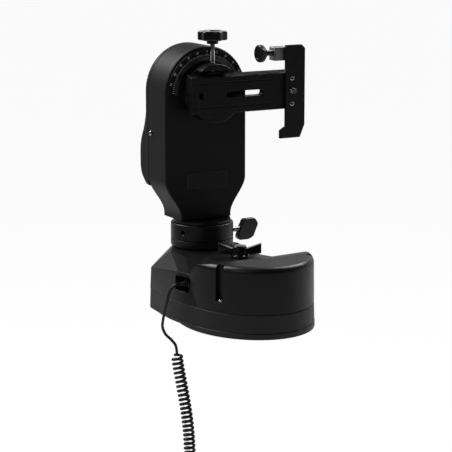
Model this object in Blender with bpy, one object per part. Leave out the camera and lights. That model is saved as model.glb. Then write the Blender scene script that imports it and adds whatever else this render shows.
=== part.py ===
# Motorised two-axis camera head with one arm.
# Metres, +Z up. The origin is the middle of the turntable's underside, on the azimuth axis.
# X runs from the arm to the azimuth axis, and a lens on the bracket points along -Y.

import math

import bmesh
import bpy
from mathutils import Matrix, Vector

mm = 0.001
gap = 0.3 * mm
inch = 25.4 * mm

# Steps round a full turn
showSteps = 40
roundSteps = 32
plateSteps = 24
hiddenSteps = 18
smallSteps = 16
screwSteps = 10

# Heights of the base, from the tripod up
turntableRadius = 46 * mm
turntableThickness = 5 * mm
flangeBottom = 1.2 * mm
flangeTail = 52 * mm
blockPlateBottom = 4.8 * mm
traySeam = 7.5 * mm
shellSeam = 27 * mm
drumTop = 76.5 * mm
rampTop = 72 * mm
deckTop = 68 * mm
blockTop = 66 * mm
wall = 3 * mm

# Plan of the base: half an ellipse with its nose along +X, and the neck block behind it
noseCentre = 12 * mm
noseLength = 86 * mm
baseHalfWidth = 68.5 * mm
nearSide = ((-10 * mm, 76 * mm), (-76 * mm, 69.5 * mm), (-116 * mm, 45 * mm), (-124 * mm, 20 * mm))
farSide = ((-10 * mm, 65 * mm), (-74 * mm, 62 * mm), (-116 * mm, 43 * mm), (-124 * mm, 20 * mm))
nearEaves = (52 * mm, 50 * mm, 44 * mm, 50 * mm)
farEaves = (48 * mm, 50 * mm, 44 * mm, 50 * mm)
eaveInset = 1.5 * mm
shellDraft = 1 * mm
drumBack = 13 * mm
drumFillet = 5 * mm

# Neck: two collars, and the arm's foot above them
neckX = -85 * mm
collarRadius = 34.5 * mm
collarWall = 7.5 * mm
collarBore = collarRadius - collarWall
lowerCollarHeight = 9.3 * mm
upperCollarHeight = 18 * mm
collarSeam = blockTop + lowerCollarHeight
collarTop = collarSeam + upperCollarHeight
footFlangeHeight = 3.3 * mm
spigotWall = 5.5 * mm
spigotRadius = collarBore - 0.5 * mm
cableBore = spigotRadius - spigotWall
clampScrewZ = collarSeam + 4.2 * mm
neckScrewRadius = 2.6 * mm
paddleReach = 9.5 * mm
paddleHalf = 3.8 * mm

# Arm
armBottom = collarTop + gap + footFlangeHeight + gap
armRise = 138.8 * mm
tiltHeight = armBottom + armRise
armFront = neckX + 11 * mm
armDepth = 42 * mm
armHalfWidth = 49.6 * mm
archRise = 51 * mm
footHalfWidth = 31 * mm
sCurveLow = armBottom + 3.8 * mm
sCurveRise = 40 * mm
coverDepth = 8 * mm
bulgeDepth = 22 * mm
armWall = 3 * mm
armFrontWall = 3.5 * mm
labelLow = armBottom + 33.8 * mm
labelHalfWidth = 25.3 * mm
labelHeight = 18.5 * mm
labelThickness = 0.5 * mm

# Gears: pitch radius is half of module times teeth
gearModule = 1.5 * mm
gearWidth = 6 * mm
gearSlack = 0.2 * mm
ringTeeth = 48
tiltTeeth = 44
idlerTeeth = 26
pinionTeeth = 10
gearFront = armFront - 14 * mm
armPlateFront = gearFront - gearWidth - 0.6 * mm
drivePlate = 2 * mm
driveShaft = 2.5 * mm
gearboxRadius = 15 * mm
gearboxLength = 12 * mm
motorRadius = 13 * mm
tiltMotorLength = 17.5 * mm

# Dial, saddle, bar and bracket
hubRadius = 29.5 * mm
hubFront = armFront + 8 * mm
scaleInner = 35.5 * mm
scaleOuter = 47.5 * mm
scaleThickness = 1.7 * mm
shaftRadius = 8 * mm
tiltBearingOuter = 16 * mm
tiltBearingWidth = 7 * mm
saddleRadius = 30 * mm
saddleDepth = 15.2 * mm
jawRise = 3.4 * mm
jawRoom = 4.8 * mm
barHalfBack = 22 * mm
barHalfFront = 19.6 * mm
barThickness = 12.6 * mm
barStart = -30 * mm
clampScrewX = hubFront + 6 * mm
clampScrewRadius = 2.5 * mm
padThickness = 1.6 * mm
padLength = 7 * mm
knobRise = 58.5 * mm
knobHeight = 10 * mm
knobRadius = 16 * mm
knobSkirt = 4 * mm
knobLobes = 6
knobDip = 1.6 * mm
cameraScrewY = 92 * mm
cameraScrewRadius = inch / 4 / 2
barEnd = cameraScrewY + 12 * mm
plateThickness = 4 * mm
plateTop = 50 * mm
plateBottom = -52 * mm
bracketScrewRadius = 1.5 * mm
bracketScrewHead = 3 * mm
bracketScrewSink = 2.4 * mm
bracketScrewSpread = 14 * mm

# Cord
cordDiameter = 3 * mm
curlOuter = 13 * mm
curlPitch = 4.8 * mm
curlCount = 42
curlPoints = 8

# Finishes: colour, roughness, metallic
finishes = {
    "satin black casting": ((0.022, 0.022, 0.024), 0.42, 0.0),
    "satin black plastic": ((0.018, 0.018, 0.02), 0.5, 0.0),
    "gloss black paint": ((0.015, 0.015, 0.017), 0.22, 0.0),
    "black rubber": ((0.012, 0.012, 0.012), 0.8, 0.0),
    "turned steel": ((0.62, 0.62, 0.6), 0.25, 1.0),
    "chrome": ((0.8, 0.8, 0.8), 0.1, 1.0),
    "brass": ((0.75, 0.52, 0.2), 0.3, 1.0),
    "light aluminium": ((0.68, 0.69, 0.7), 0.4, 1.0),
    "black anodised aluminium": ((0.02, 0.02, 0.022), 0.35, 0.6),
    "scale grey": ((0.14, 0.14, 0.15), 0.35, 0.2),
    "bare label": ((0.03, 0.03, 0.032), 0.3, 0.0),
    "green board": ((0.02, 0.16, 0.07), 0.45, 0.0),
    "zinc motor can": ((0.55, 0.56, 0.57), 0.35, 1.0),
}

turnTo = {
    "X": Matrix(((0, 0, 1), (1, 0, 0), (0, 1, 0))),
    "Y": Matrix(((0, 1, 0), (0, 0, 1), (1, 0, 0))),
    "Z": Matrix.Identity(3),
}


def clearScene():
    for thing in list(bpy.data.objects):
        bpy.data.objects.remove(thing, do_unlink=True)


def addMaterial(name):
    colour, roughness, metallic = finishes[name]
    material = bpy.data.materials.get(name)
    if material is None:
        material = bpy.data.materials.new(name)
        material.use_nodes = True
        shader = material.node_tree.nodes["Principled BSDF"]
        shader.inputs["Base Color"].default_value = (*colour, 1)
        shader.inputs["Roughness"].default_value = roughness
        shader.inputs["Metallic"].default_value = metallic
    return material


# Solids

def toSolid(shape):
    bmesh.ops.recalc_face_normals(shape, faces=shape.faces)
    mesh = bpy.data.meshes.new("solid")
    shape.to_mesh(mesh)
    shape.free()
    solid = bpy.data.objects.new("solid", mesh)
    bpy.context.scene.collection.objects.link(solid)
    return solid


def placed(point, axis, centre):
    return turnTo[axis] @ Vector(point) + Vector(centre)


def turned(profile, axis="Z", centre=(0, 0, 0), steps=roundSteps):
    """profile: radius and height pairs, a closed loop, or from pole to pole where a radius is 0"""
    shape = bmesh.new()
    rings = []
    for radius, height in profile:
        if radius == 0:
            rings.append([shape.verts.new(placed((0, 0, height), axis, centre))])
            continue
        ring = []
        for step in range(steps):
            angle = math.tau * step / steps
            point = (radius * math.cos(angle), radius * math.sin(angle), height)
            ring.append(shape.verts.new(placed(point, axis, centre)))
        rings.append(ring)
    pairs = list(zip(rings, rings[1:]))
    if len(rings[0]) > 1:
        pairs.append((rings[-1], rings[0]))
    for first, second in pairs:
        for step in range(steps):
            following = (step + 1) % steps
            corners = [first[step % len(first)], first[following % len(first)]]
            corners += [second[following % len(second)], second[step % len(second)]]
            distinct = list(dict.fromkeys(corners))
            shape.faces.new(distinct)
    return toSolid(shape)


def edged(inner, outer, low, high, edge):
    """Profile of a tube or a rod, its outer corners cut by the edge"""
    if edge == 0:
        return [(inner, low), (outer, low), (outer, high), (inner, high)]
    return [(inner, low), (outer - edge, low), (outer, low + edge),
            (outer, high - edge), (outer - edge, high), (inner, high)]


def rod(radius, low, high, axis="Z", centre=(0, 0, 0), steps=smallSteps, edge=0.0):
    return turned(edged(0, radius, low, high, edge), axis, centre, steps)


def ring(inner, outer, low, high, axis="Z", centre=(0, 0, 0), steps=roundSteps, edge=0.0):
    return turned(edged(inner, outer, low, high, edge), axis, centre, steps)


def loft(rings):
    """rings: loops of the same count, each loop a list of points"""
    shape = bmesh.new()
    loops = [[shape.verts.new(Vector(point)) for point in loop] for loop in rings]
    for first, second in zip(loops, loops[1:]):
        count = len(first)
        for step in range(count):
            following = (step + 1) % count
            shape.faces.new((first[step], first[following], second[following], second[step]))
    shape.faces.new(list(reversed(loops[0])))
    shape.faces.new(loops[-1])
    return toSolid(shape)


def slab(outline, low, high, axis="Z", centre=(0, 0, 0)):
    levels = (low, high)
    return loft([[placed((a, b, level), axis, centre) for a, b in outline] for level in levels])


def box(low, high):
    outline = [(low[0], low[1]), (high[0], low[1]), (high[0], high[1]), (low[0], high[1])]
    return slab(outline, low[2], high[2])


def ofKind(items, kind):
    return [item for item in items if isinstance(item, kind)]


def hullShape(points):
    shape = bmesh.new()
    for point in points:
        shape.verts.new(Vector(point))
    made = bmesh.ops.convex_hull(shape, input=shape.verts)
    unused = ofKind(made["geom_interior"] + made["geom_unused"], bmesh.types.BMVert)
    bmesh.ops.delete(shape, geom=list(set(unused)), context="VERTS")
    flat = math.radians(0.5)
    bmesh.ops.dissolve_limit(shape, angle_limit=flat, verts=shape.verts, edges=shape.edges)
    bmesh.ops.recalc_face_normals(shape, faces=shape.faces)
    return shape


def hull(points):
    return toSolid(hullShape(points))


def insideHull(points, thickness, reach=0.5):
    """The hull of the points with every face moved in by the thickness"""
    outer = hullShape(points)
    planes = [(face.normal.copy(), face.calc_center_median() - face.normal * thickness)
              for face in outer.faces]
    outer.free()
    shape = bmesh.new()
    bmesh.ops.create_cube(shape, size=reach * 2)
    for normal, point in planes:
        everything = list(shape.verts) + list(shape.edges) + list(shape.faces)
        made = bmesh.ops.bisect_plane(
            shape, geom=everything, plane_co=point, plane_no=normal, clear_outer=True)
        edges = ofKind(made["geom_cut"], bmesh.types.BMEdge)
        if edges:
            bmesh.ops.contextual_create(shape, geom=edges)
    return toSolid(shape)


def combine(base, others, operation):
    for other in others:
        change = base.modifiers.new("combine", "BOOLEAN")
        change.operation = operation
        change.object = other
        change.solver = "EXACT"
    bpy.context.view_layer.update()
    graph = bpy.context.evaluated_depsgraph_get()
    mesh = bpy.data.meshes.new_from_object(base.evaluated_get(graph))
    base.modifiers.clear()
    base.data = mesh
    for other in others:
        bpy.data.objects.remove(other, do_unlink=True)
    return base


def joined(base, *others):
    return combine(base, others, "UNION")


def cut(base, *others):
    return combine(base, others, "DIFFERENCE")


def tidyMesh(mesh):
    shape = bmesh.new()
    shape.from_mesh(mesh)
    bmesh.ops.remove_doubles(shape, verts=shape.verts, dist=0.002 * mm)
    bmesh.ops.dissolve_degenerate(shape, edges=shape.edges, dist=0.002 * mm)
    bmesh.ops.dissolve_limit(shape, angle_limit=math.radians(0.3), verts=shape.verts, edges=shape.edges)
    bmesh.ops.triangulate(shape, faces=shape.faces)
    shape.to_mesh(mesh)
    shape.free()


def finish(solid, name, finishName, origin=(0, 0, 0), smooth=35):
    tidyMesh(solid.data)
    solid.data.transform(Matrix.Translation(-Vector(origin)))
    solid.location = origin
    solid.name = name
    solid.data.name = name
    solid.data.materials.clear()
    solid.data.materials.append(addMaterial(finishName))
    solid.data.shade_smooth()
    solid.data.set_sharp_from_angle(angle=math.radians(smooth))
    return solid


# Outlines

def nosePoint(angle, inset):
    x = noseCentre + (noseLength - inset) * math.cos(angle)
    return x, (baseHalfWidth - inset) * math.sin(angle)


def noseArc(inset, backX, steps):
    """The nose from backX on the -Y side round to backX on the +Y side"""
    limit = math.acos((backX - noseCentre) / (noseLength - inset))
    return [nosePoint(limit * (2 * step / steps - 1), inset) for step in range(steps + 1)]


def blockSide(corners, inset, side):
    shrinkX = 1 + inset / corners[-1][0]
    shrinkY = 1 - inset / corners[0][1]
    return [(x * shrinkX, side * y * shrinkY) for x, y in corners]


def basePlan(inset, steps=24):
    """Whole plan of the base: the nose, then the neck block's corners"""
    near = blockSide(nearSide, inset, -1)
    return noseArc(inset, noseCentre, steps) + blockSide(farSide, inset, 1) + list(reversed(near))


def smoothStep(value):
    value = min(max(value, 0), 1)
    return value * value * (3 - 2 * value)


def archPoints(inset, steps):
    half = armHalfWidth - inset
    rise = archRise - inset
    angles = [math.pi * step / steps for step in range(steps + 1)]
    return [(half * math.cos(angle), tiltHeight + rise * math.sin(angle)) for angle in angles]


def armOutline(inset, bottom, sideSteps=8, archSteps=24):
    """Outline of the arm seen along X: a half round top, straight sides and the S-shaped foot"""
    side = []
    for step in range(sideSteps + 1):
        share = 1 - step / sideSteps
        width = footHalfWidth + (armHalfWidth - footHalfWidth) * smoothStep(share) - inset
        side.append((width, sCurveLow + sCurveRise * share))
    side = [point for point in side if point[1] > bottom]
    side.append((footHalfWidth - inset, bottom))
    left = [(-y, z) for y, z in side]
    return archPoints(inset, archSteps) + left + list(reversed(side))


def coverOutline(inset, bottom, archSteps=24):
    half = armHalfWidth - inset
    corner = 4 * mm
    low = [(-half, bottom + corner), (-half + corner, bottom)]
    return archPoints(inset, archSteps) + low + [(-y, z) for y, z in reversed(low)]


def gearOutline(teeth, firstTooth=0.0):
    """Four points a tooth; firstTooth is the angle of a tooth's middle"""
    pitchRadius = gearModule * teeth / 2
    tip = pitchRadius + 0.9 * gearModule
    root = pitchRadius - 1.2 * gearModule
    step = math.tau / teeth
    tipHalf = 0.10 * step
    rootHalf = 0.27 * step
    tooth = ((root, -rootHalf), (tip, -tipHalf), (tip, tipHalf), (root, rootHalf))
    points = []
    for count in range(teeth):
        middle = firstTooth + count * step
        points += [(radius * math.cos(middle + angle), radius * math.sin(middle + angle))
                   for radius, angle in tooth]
    return points


def matingTooth(teeth, firstTooth, mateTeeth, direction):
    """First tooth of a gear that meshes with this one and lies in the direction"""
    share = (firstTooth - direction) / (math.tau / teeth) % 1
    return direction + math.pi + (0.5 - share) * math.tau / mateTeeth


def bothSides(spots):
    return [(x, side * y) for x, y in spots for side in (1, -1)]


# Base, the part that stays still

ringGearBottom = 22 * mm
ringGearTop = ringGearBottom + gearWidth
spindleRadius = 12 * mm
gearSeatRadius = 10 * mm
studRadius = 4 * mm
studTop = deckTop + 9 * mm
tripodThread = 3 / 8 * inch / 2
tripodThreadDepth = 14 * mm
washerRadius = 16 * mm
washerTop = ringGearTop + gap + 2 * mm
sleeveTop = deckTop + 1.2 * mm
sleeveRadius = 7 * mm
knobFoot = deckTop + 0.6 * mm
wingReach = 23 * mm
wingAngle = math.radians(61)


def turntablePlate():
    rim = 1 * mm
    profile = [
        (0, tripodThreadDepth), (tripodThread, tripodThreadDepth), (tripodThread, 0),
        (turntableRadius - rim, 0), (turntableRadius, rim), (turntableRadius, turntableThickness),
        (spindleRadius, turntableThickness), (spindleRadius, ringGearBottom - gap),
        (gearSeatRadius, ringGearBottom - gap), (gearSeatRadius, ringGearTop - gap),
        (studRadius, ringGearTop - gap), (studRadius, studTop), (0, studTop),
    ]
    return finish(turned(profile, steps=plateSteps), "turntable_plate", "light aluminium")


def azimuthRingGear():
    gear = slab(gearOutline(ringTeeth), ringGearBottom, ringGearTop)
    bore = rod(gearSeatRadius + gap, ringGearBottom - mm, ringGearTop + mm, steps=hiddenSteps)
    return finish(cut(gear, bore), "azimuth_ring_gear", "brass")


def clutchPieces():
    washer = ring(studRadius + gap, washerRadius, ringGearTop + gap, washerTop, steps=hiddenSteps)
    finish(washer, "clutch_washer", "turned steel")
    sleeve = ring(studRadius + gap, sleeveRadius, washerTop + gap, sleeveTop, steps=smallSteps)
    finish(sleeve, "clutch_sleeve", "turned steel")


def clutchKnob():
    """Knob that screws down on the stud; its two wings widen and rise outwards"""
    def above(height):
        return knobFoot + height * mm

    studRoom = studTop + 1 * mm
    sleeveRoom = sleeveTop + 1.4 * mm
    profile = [
        (0, studRoom), (studRadius + gap, studRoom), (studRadius + gap, sleeveRoom),
        (sleeveRadius + gap, sleeveRoom), (sleeveRadius + gap, knobFoot), (10 * mm, knobFoot),
        (10 * mm, above(2)), (8 * mm, above(3)), (7.5 * mm, above(10.9)), (6.5 * mm, above(12.4)),
        (0, above(12.4)),
    ]
    sections = (
        (6 * mm, above(3), above(8.9), 3.5 * mm),
        (14 * mm, above(3.4), above(10.9), 2.8 * mm),
        (wingReach, above(4.4), above(14.9), 2.6 * mm),
    )
    along = Vector((math.cos(wingAngle), math.sin(wingAngle), 0))
    across = Vector((-along.y, along.x, 0))
    wings = []
    for side in (1, -1):
        points = [along * side * reach + across * shift + Vector((0, 0, height))
                  for reach, bottom, top, half in sections
                  for height in (bottom, top) for shift in (-half, half)]
        wings.append(hull(points))
    knob = joined(turned(profile, steps=hiddenSteps), *wings)
    return finish(knob, "azimuth_clutch_knob", "satin black plastic")


# Base, the part that turns

bearingOuter = 20.9 * mm
bearingLow = 9.1 * mm
bearingHigh = 19.1 * mm
boardCorners = ((-100 * mm, 28 * mm), (-50 * mm, 28 * mm))
boardBottom = shellSeam + 3 * mm
boardThickness = 1.6 * mm
boardMiddle = -75 * mm
boardHalfX = 31 * mm
boardHalfY = 34 * mm
postRadius = 3 * mm
footSpot = (-58 * mm, 62 * mm)
footRadius = 3.3 * mm
footBottom = 0.2 * mm


def baseTray():
    plate = slab(basePlan(0), blockPlateBottom, traySeam)
    nose = noseArc(-0.4 * mm, 0, 28)
    tailSteps = 12
    tail = []
    for step in range(1, tailSteps):
        angle = math.pi / 2 + math.pi * step / tailSteps
        tail.append((flangeTail * math.cos(angle), nose[-1][1] * math.sin(angle)))
    flange = slab(nose + tail, flangeBottom, traySeam)
    seatRadius = bearingOuter + gap
    seat = rod(seatRadius + wall, traySeam, bearingHigh + 1 * mm, steps=hiddenSteps)
    posts = [rod(postRadius, traySeam - 1 * mm, boardBottom - gap, centre=(x, y, 0), steps=screwSteps)
             for x, y in bothSides(boardCorners)]
    tray = joined(plate, flange, seat, *posts)
    recess = rod(turntableRadius + 0.5 * mm, -mm, turntableThickness + 0.4 * mm, steps=roundSteps)
    bore = rod(spindleRadius + 1 * mm, 0, bearingHigh + 2 * mm, steps=hiddenSteps)
    pocket = rod(seatRadius, bearingLow - gap, bearingHigh + 2 * mm, steps=hiddenSteps)
    return finish(cut(tray, recess, bore, pocket), "base_tray", "satin black casting")


def baseFeet():
    for side, name in ((-1, "base_foot_left"), (1, "base_foot_right")):
        centre = (footSpot[0], side * footSpot[1], 0)
        foot = rod(footRadius, footBottom, blockPlateBottom - gap, centre=centre)
        finish(foot, name, "black rubber")


slotAngle = math.radians(57.5)
slotInset = 4.4 * mm
slotRadius = 4.4 * mm
slotFloor = shellSeam + 11 * mm
caseScrewRadius = 1.6 * mm
caseScrewHead = 3 * mm
caseBossRadius = 7.5 * mm
screwDepth = shellSeam - 13 * mm


def slotCentre(side):
    """Axis of a case screw, with the way out of the shell there"""
    x, y = nosePoint(side * slotAngle, 0)
    slope = (math.cos(side * slotAngle) / noseLength, math.sin(side * slotAngle) / baseHalfWidth)
    outward = Vector(slope).normalized()
    return Vector((x, y)) - outward * slotInset, outward


def baseLowerShell():
    low = traySeam + gap
    draft = 0.5 * mm
    outer = loft([[(x, y, low) for x, y in basePlan(0)],
                  [(x, y, shellSeam) for x, y in basePlan(draft)]])
    cavity = slab(basePlan(wall + draft), low - 1 * mm, shellSeam + 1 * mm)
    bosses = []
    holes = []
    for side in (1, -1):
        spot, outward = slotCentre(side)
        centre = (*spot, 0)
        bosses.append(rod(caseBossRadius, low, shellSeam + 2 * mm, centre=centre))
        holes.append(rod(caseScrewRadius + gap, screwDepth - mm, shellSeam + mm,
                         centre=centre, steps=screwSteps))
    shell = cut(outer, cut(cavity, *bosses), *holes)
    return finish(shell, "base_lower_shell", "satin black casting")


portX = 3 * mm
portZ = 47.5 * mm
portHalfX = 12 * mm
portHalfZ = 8 * mm
pocketFloor = 61 * mm
socketWall = 3 * mm
plugHalfX = 5 * mm
plugHalfZ = 3 * mm
panelFace = 59.5 * mm
panelLow = -57 * mm
panelHigh = -21 * mm
panelZ = 38 * mm
panelHalf = 7.5 * mm
panelWall = 4 * mm
panelDepth = 14 * mm
switchX = -46 * mm
switchHalfX = 6.6 * mm
switchHalfZ = 5.1 * mm
jackX = -29 * mm
jackRadius = 5 * mm
jackFlange = 7 * mm
jackBore = 2.8 * mm
motorAxisX = gearModule * (ringTeeth + pinionTeeth) / 2 + gearSlack
motorPassage = 30 * mm


def drumRings(inset, bottom, top, back, filletSteps=4, steps=28):
    """Rings of the drum, with its draft and its rounded top edge"""
    fillet = drumFillet - min(inset, drumFillet - 2 * mm)
    levels = [(0.5 * mm, bottom), (shellDraft, top - fillet)]
    for step in range(1, filletSteps + 1):
        angle = math.pi / 2 * step / filletSteps
        draft = shellDraft + fillet * (1 - math.cos(angle))
        levels.append((draft, top - fillet + fillet * math.sin(angle)))
    return [[(x, y, level) for x, y in noseArc(inset + draft, back, steps)] for draft, level in levels]


def blockPoints():
    """Corners of the neck block: its foot, its eaves, its near ridge and its flat top"""
    low = shellSeam + gap
    points = [(x, y, low) for x, y in basePlan(0.5 * mm) if x < 28 * mm]
    for corners, eaves, side in ((nearSide, nearEaves, -1), (farSide, farEaves, 1)):
        points += [(x, y, z) for (x, y), z in zip(blockSide(corners, eaveInset, side), eaves)]
    ridge = ((-4 * mm, -72 * mm, 59.5 * mm), (14 * mm, -67 * mm, 59 * mm))
    plateau = (
        (-36.5 * mm, -46 * mm), (-76.5 * mm, -44 * mm), (-108 * mm, -23 * mm), (-117 * mm, -8 * mm),
        (-117 * mm, 8 * mm), (-108 * mm, 23 * mm), (-76.5 * mm, 40 * mm), (-36.5 * mm, 24 * mm),
    )
    return points + list(ridge) + [(x, y, blockTop) for x, y in plateau]


def deckPoints():
    """Sections along X of the deck between the block and the drum"""
    sections = (
        (26 * mm, deckTop + 1 * mm, 35 * mm, 64 * mm, 58 * mm),
        (-4 * mm, deckTop, 25 * mm, 62 * mm, 52 * mm),
        (-40 * mm, blockTop, 20 * mm, 50 * mm, 44 * mm),
    )
    points = []
    for x, top, halfTop, halfLow, eave in sections:
        for side in (1, -1):
            points += [(x, side * halfTop, top), (x, side * halfLow, eave)]
            points.append((x, side * halfLow, shellSeam + gap))
    return points


def rampsAboveDeck(lift):
    """Spaces above the steep shoulders and above the gentle slope from the deck to the drum's top"""
    shoulders = (
        (2 * mm, 28 * mm, deckTop), (11 * mm, 75 * mm, 57 * mm), (30 * mm, 12 * mm, rampTop),
        (28 * mm, 30 * mm, rampTop), (24 * mm, 58 * mm, rampTop), (24 * mm, 75 * mm, rampTop),
    )
    slope = (
        (2 * mm, 75 * mm, rampTop), (24 * mm, 75 * mm, rampTop), (30 * mm, 12 * mm, rampTop),
        (50 * mm, 12 * mm, drumTop), (48 * mm, 75 * mm, drumTop),
    )
    high = drumTop + 10 * mm
    return [hull([(x, side * y, z) for x, y, low in corners for side in (1, -1)
                  for z in (low + lift, high)]) for corners in (shoulders, slope)]


def screwChannels(low):
    """Bosses that stay in the cavity, and the channels and holes cut in them"""
    bosses = []
    holes = []
    reach = 12 * mm
    for side in (1, -1):
        spot, outward = slotCentre(side)
        centre = (*spot, 0)
        bosses.append(rod(caseBossRadius, low - 3 * mm, drumTop, centre=centre))
        holes.append(rod(slotRadius, slotFloor, drumTop + 5 * mm, centre=centre))
        holes.append(rod(caseScrewRadius + gap, low - 3 * mm, slotFloor + mm,
                         centre=centre, steps=screwSteps))
        across = Vector((-outward.y, outward.x)) * slotRadius
        outline = [spot - across, spot + across, spot + across + outward * reach,
                   spot - across + outward * reach]
        holes.append(slab([tuple(point) for point in outline], slotFloor, drumTop + 5 * mm))
    return bosses, holes


def portPocket(low):
    """Wall round the cord's port, and the pocket and the plug's hole cut in it"""
    around = (portX - portHalfX - wall, portX + portHalfX + wall)
    keep = box((around[0], -80 * mm, low),
               (around[1], -pocketFloor + socketWall, portZ + portHalfZ + wall))
    pocket = box((portX - portHalfX, -90 * mm, portZ - portHalfZ),
                 (portX + portHalfX, -pocketFloor, portZ + portHalfZ))
    room = 1 * mm
    hole = box((portX - plugHalfX - room, -pocketFloor - 9 * mm, portZ - plugHalfZ - room),
               (portX + plugHalfX + room, -pocketFloor + 11 * mm, portZ + plugHalfZ + room))
    return keep, [pocket, hole]


def rearPanel(low):
    """Wall behind the rear panel, and the recess and the holes cut in it"""
    outside = 90 * mm
    back = panelFace - panelDepth - 2 * mm
    keep = box((panelLow - wall, panelFace - panelWall, low),
               (panelHigh + wall, outside, panelZ + 10 * mm))
    recess = box((panelLow, panelFace, panelZ - panelHalf), (panelHigh, outside, panelZ + panelHalf))
    room = 0.4 * mm
    switchHole = box((switchX - switchHalfX - room, back, panelZ - switchHalfZ - room),
                     (switchX + switchHalfX + room, panelFace + mm, panelZ + switchHalfZ + room))
    jackHole = rod(jackRadius + gap, back, panelFace + mm, "Y", (jackX, 0, panelZ))
    return keep, [recess, switchHole, jackHole]


def baseUpperShell():
    low = shellSeam + gap
    outer = cut(loft(drumRings(0, low, drumTop, drumBack)), *rampsAboveDeck(0.2 * mm))
    outer = joined(outer, hull(blockPoints()), hull(deckPoints()))
    drumInside = loft(drumRings(wall, low - 2 * mm, drumTop - wall, drumBack + wall, 2, 20))
    drumInside = cut(drumInside, *rampsAboveDeck(-wall - 0.5 * mm))
    inner = [insideHull(points, wall) for points in (blockPoints(), deckPoints())]
    mouth = slab(basePlan(wall + 1 * mm), low - 2.5 * mm, low + 8 * mm)
    passage = box((10 * mm, -motorPassage, low), (40 * mm, motorPassage, rampTop - 10 * mm))
    bosses, holes = screwChannels(low)
    portWall, portHoles = portPocket(low)
    panelBack, panelHoles = rearPanel(low)
    cavity = cut(joined(drumInside, mouth, passage, *inner), portWall, panelBack, *bosses)
    sleeveHole = rod(sleeveRadius + 1.5 * mm, deckTop - 18 * mm, drumTop)
    cableHole = rod(12 * mm, blockTop - 16 * mm, drumTop, centre=(neckX, 0, 0))
    shell = cut(outer, cavity, sleeveHole, cableHole, *holes, *portHoles, *panelHoles)
    return finish(shell, "base_upper_shell", "satin black casting")


def caseScrews():
    for side, name in ((-1, "case_screw_left"), (1, "case_screw_right")):
        spot, outward = slotCentre(side)
        head = slotFloor + gap
        profile = [
            (0, screwDepth), (caseScrewRadius, screwDepth + mm), (caseScrewRadius, head),
            (caseScrewHead, head), (caseScrewHead, head + 1.6 * mm), (2 * mm, head + 2.6 * mm),
            (0, head + 2.6 * mm),
        ]
        finish(turned(profile, centre=(*spot, 0), steps=screwSteps), name, "chrome")


bracketBottom = ringGearTop + 1.3 * mm
motorTop = rampTop - wall - 3.1 * mm


def motorProfile(start, end, facing):
    """Motor can from its face at start to its rear boss at end, which lies the way of facing"""
    rim = 1 * mm
    back = end - facing * 2 * mm
    return [(0, start), (motorRadius, start), (motorRadius, back - facing * rim),
            (motorRadius - rim, back), (5 * mm, back), (5 * mm, end), (0, end)]


def azimuthDrive():
    bearing = ring(spindleRadius + gap, bearingOuter, bearingLow, bearingHigh, steps=hiddenSteps)
    finish(bearing, "azimuth_bearing", "turned steel")
    axis = (motorAxisX, 0, 0)
    corners = [(motorAxisX + x, y) for x, y in (
        (-17.7 * mm, 24 * mm), (18.3 * mm, 19 * mm), (23.3 * mm, 14 * mm))]
    plateTop = bracketBottom + drivePlate
    plate = slab([(x, -y) for x, y in corners] + list(reversed(corners)), bracketBottom, plateTop)
    legSpots = ((motorAxisX - 7.7 * mm, 24 * mm), (motorAxisX + 18.3 * mm, 15 * mm))
    legs = [rod(postRadius, traySeam + gap, bracketBottom + mm, centre=(x, y, 0), steps=screwSteps)
            for x, y in bothSides(legSpots)]
    opening = rod(5 * mm, bracketBottom - mm, plateTop + mm, centre=axis)
    finish(cut(joined(plate, *legs), opening), "azimuth_motor_bracket", "turned steel")
    boxLow = plateTop + gap
    boxTop = boxLow + gearboxLength
    gearbox = rod(gearboxRadius, boxLow, boxTop, centre=axis, steps=hiddenSteps)
    shaftHole = rod(driveShaft + gap, boxLow - mm, boxLow + 5 * mm, centre=axis, steps=screwSteps)
    finish(cut(gearbox, shaftHole), "azimuth_gearbox", "brass")
    motor = turned(motorProfile(boxTop + gap, motorTop, 1), centre=axis, steps=hiddenSteps)
    finish(motor, "azimuth_motor", "zinc motor can")
    outline = gearOutline(pinionTeeth, matingTooth(ringTeeth, 0, pinionTeeth, 0))
    pinion = slab(outline, ringGearBottom, ringGearTop, centre=axis)
    shaft = rod(driveShaft, ringGearBottom - mm, boxLow + 4 * mm, centre=axis, steps=screwSteps)
    finish(joined(pinion, shaft), "azimuth_pinion", "turned steel", origin=axis)


def controlBoard():
    top = boardBottom + boardThickness
    low = top - 0.6 * mm
    x = boardMiddle
    board = box((x - boardHalfX, -boardHalfY, boardBottom), (x + boardHalfX, boardHalfY, top))
    spots = ((-17, 1, -16, 2, 2.4), (9, 21, 6, 18, 3.4), (-23, -13, 10, 26, 7.4))
    chips = [box((x + back * mm, right * mm, low), (x + front * mm, left * mm, top + rise * mm))
             for back, front, right, left, rise in spots]
    finish(joined(board, *chips), "control_board", "green board")


def sockets():
    front = -(pocketFloor - socketWall) + gap
    skin = 2 * mm
    body = box((portX - plugHalfX - skin, front, portZ - plugHalfZ - skin),
               (portX + plugHalfX + skin, front + 12 * mm, portZ + plugHalfZ + skin))
    mouth = box((portX - plugHalfX - gap, front - mm, portZ - plugHalfZ - gap),
                (portX + plugHalfX + gap, front + 8 * mm, portZ + plugHalfZ + gap))
    finish(cut(body, mouth), "hand_control_socket", "satin black plastic")
    start = panelFace - panelDepth
    back = panelFace - panelWall - gap
    lip = panelFace + 1 * mm
    floor = panelFace - 9 * mm
    pin = 1 * mm
    profile = [(0, start), (jackFlange, start), (jackFlange, back), (jackRadius, back),
               (jackRadius, lip), (jackBore, lip), (jackBore, floor), (pin, floor),
               (pin, panelFace), (0, panelFace)]
    jack = turned(profile, "Y", (jackX, 0, panelZ), screwSteps)
    finish(jack, "power_socket", "satin black plastic")


rockerPivot = (switchX, panelFace + 0.5 * mm, panelZ)
rockerTilt = math.radians(8)


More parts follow.
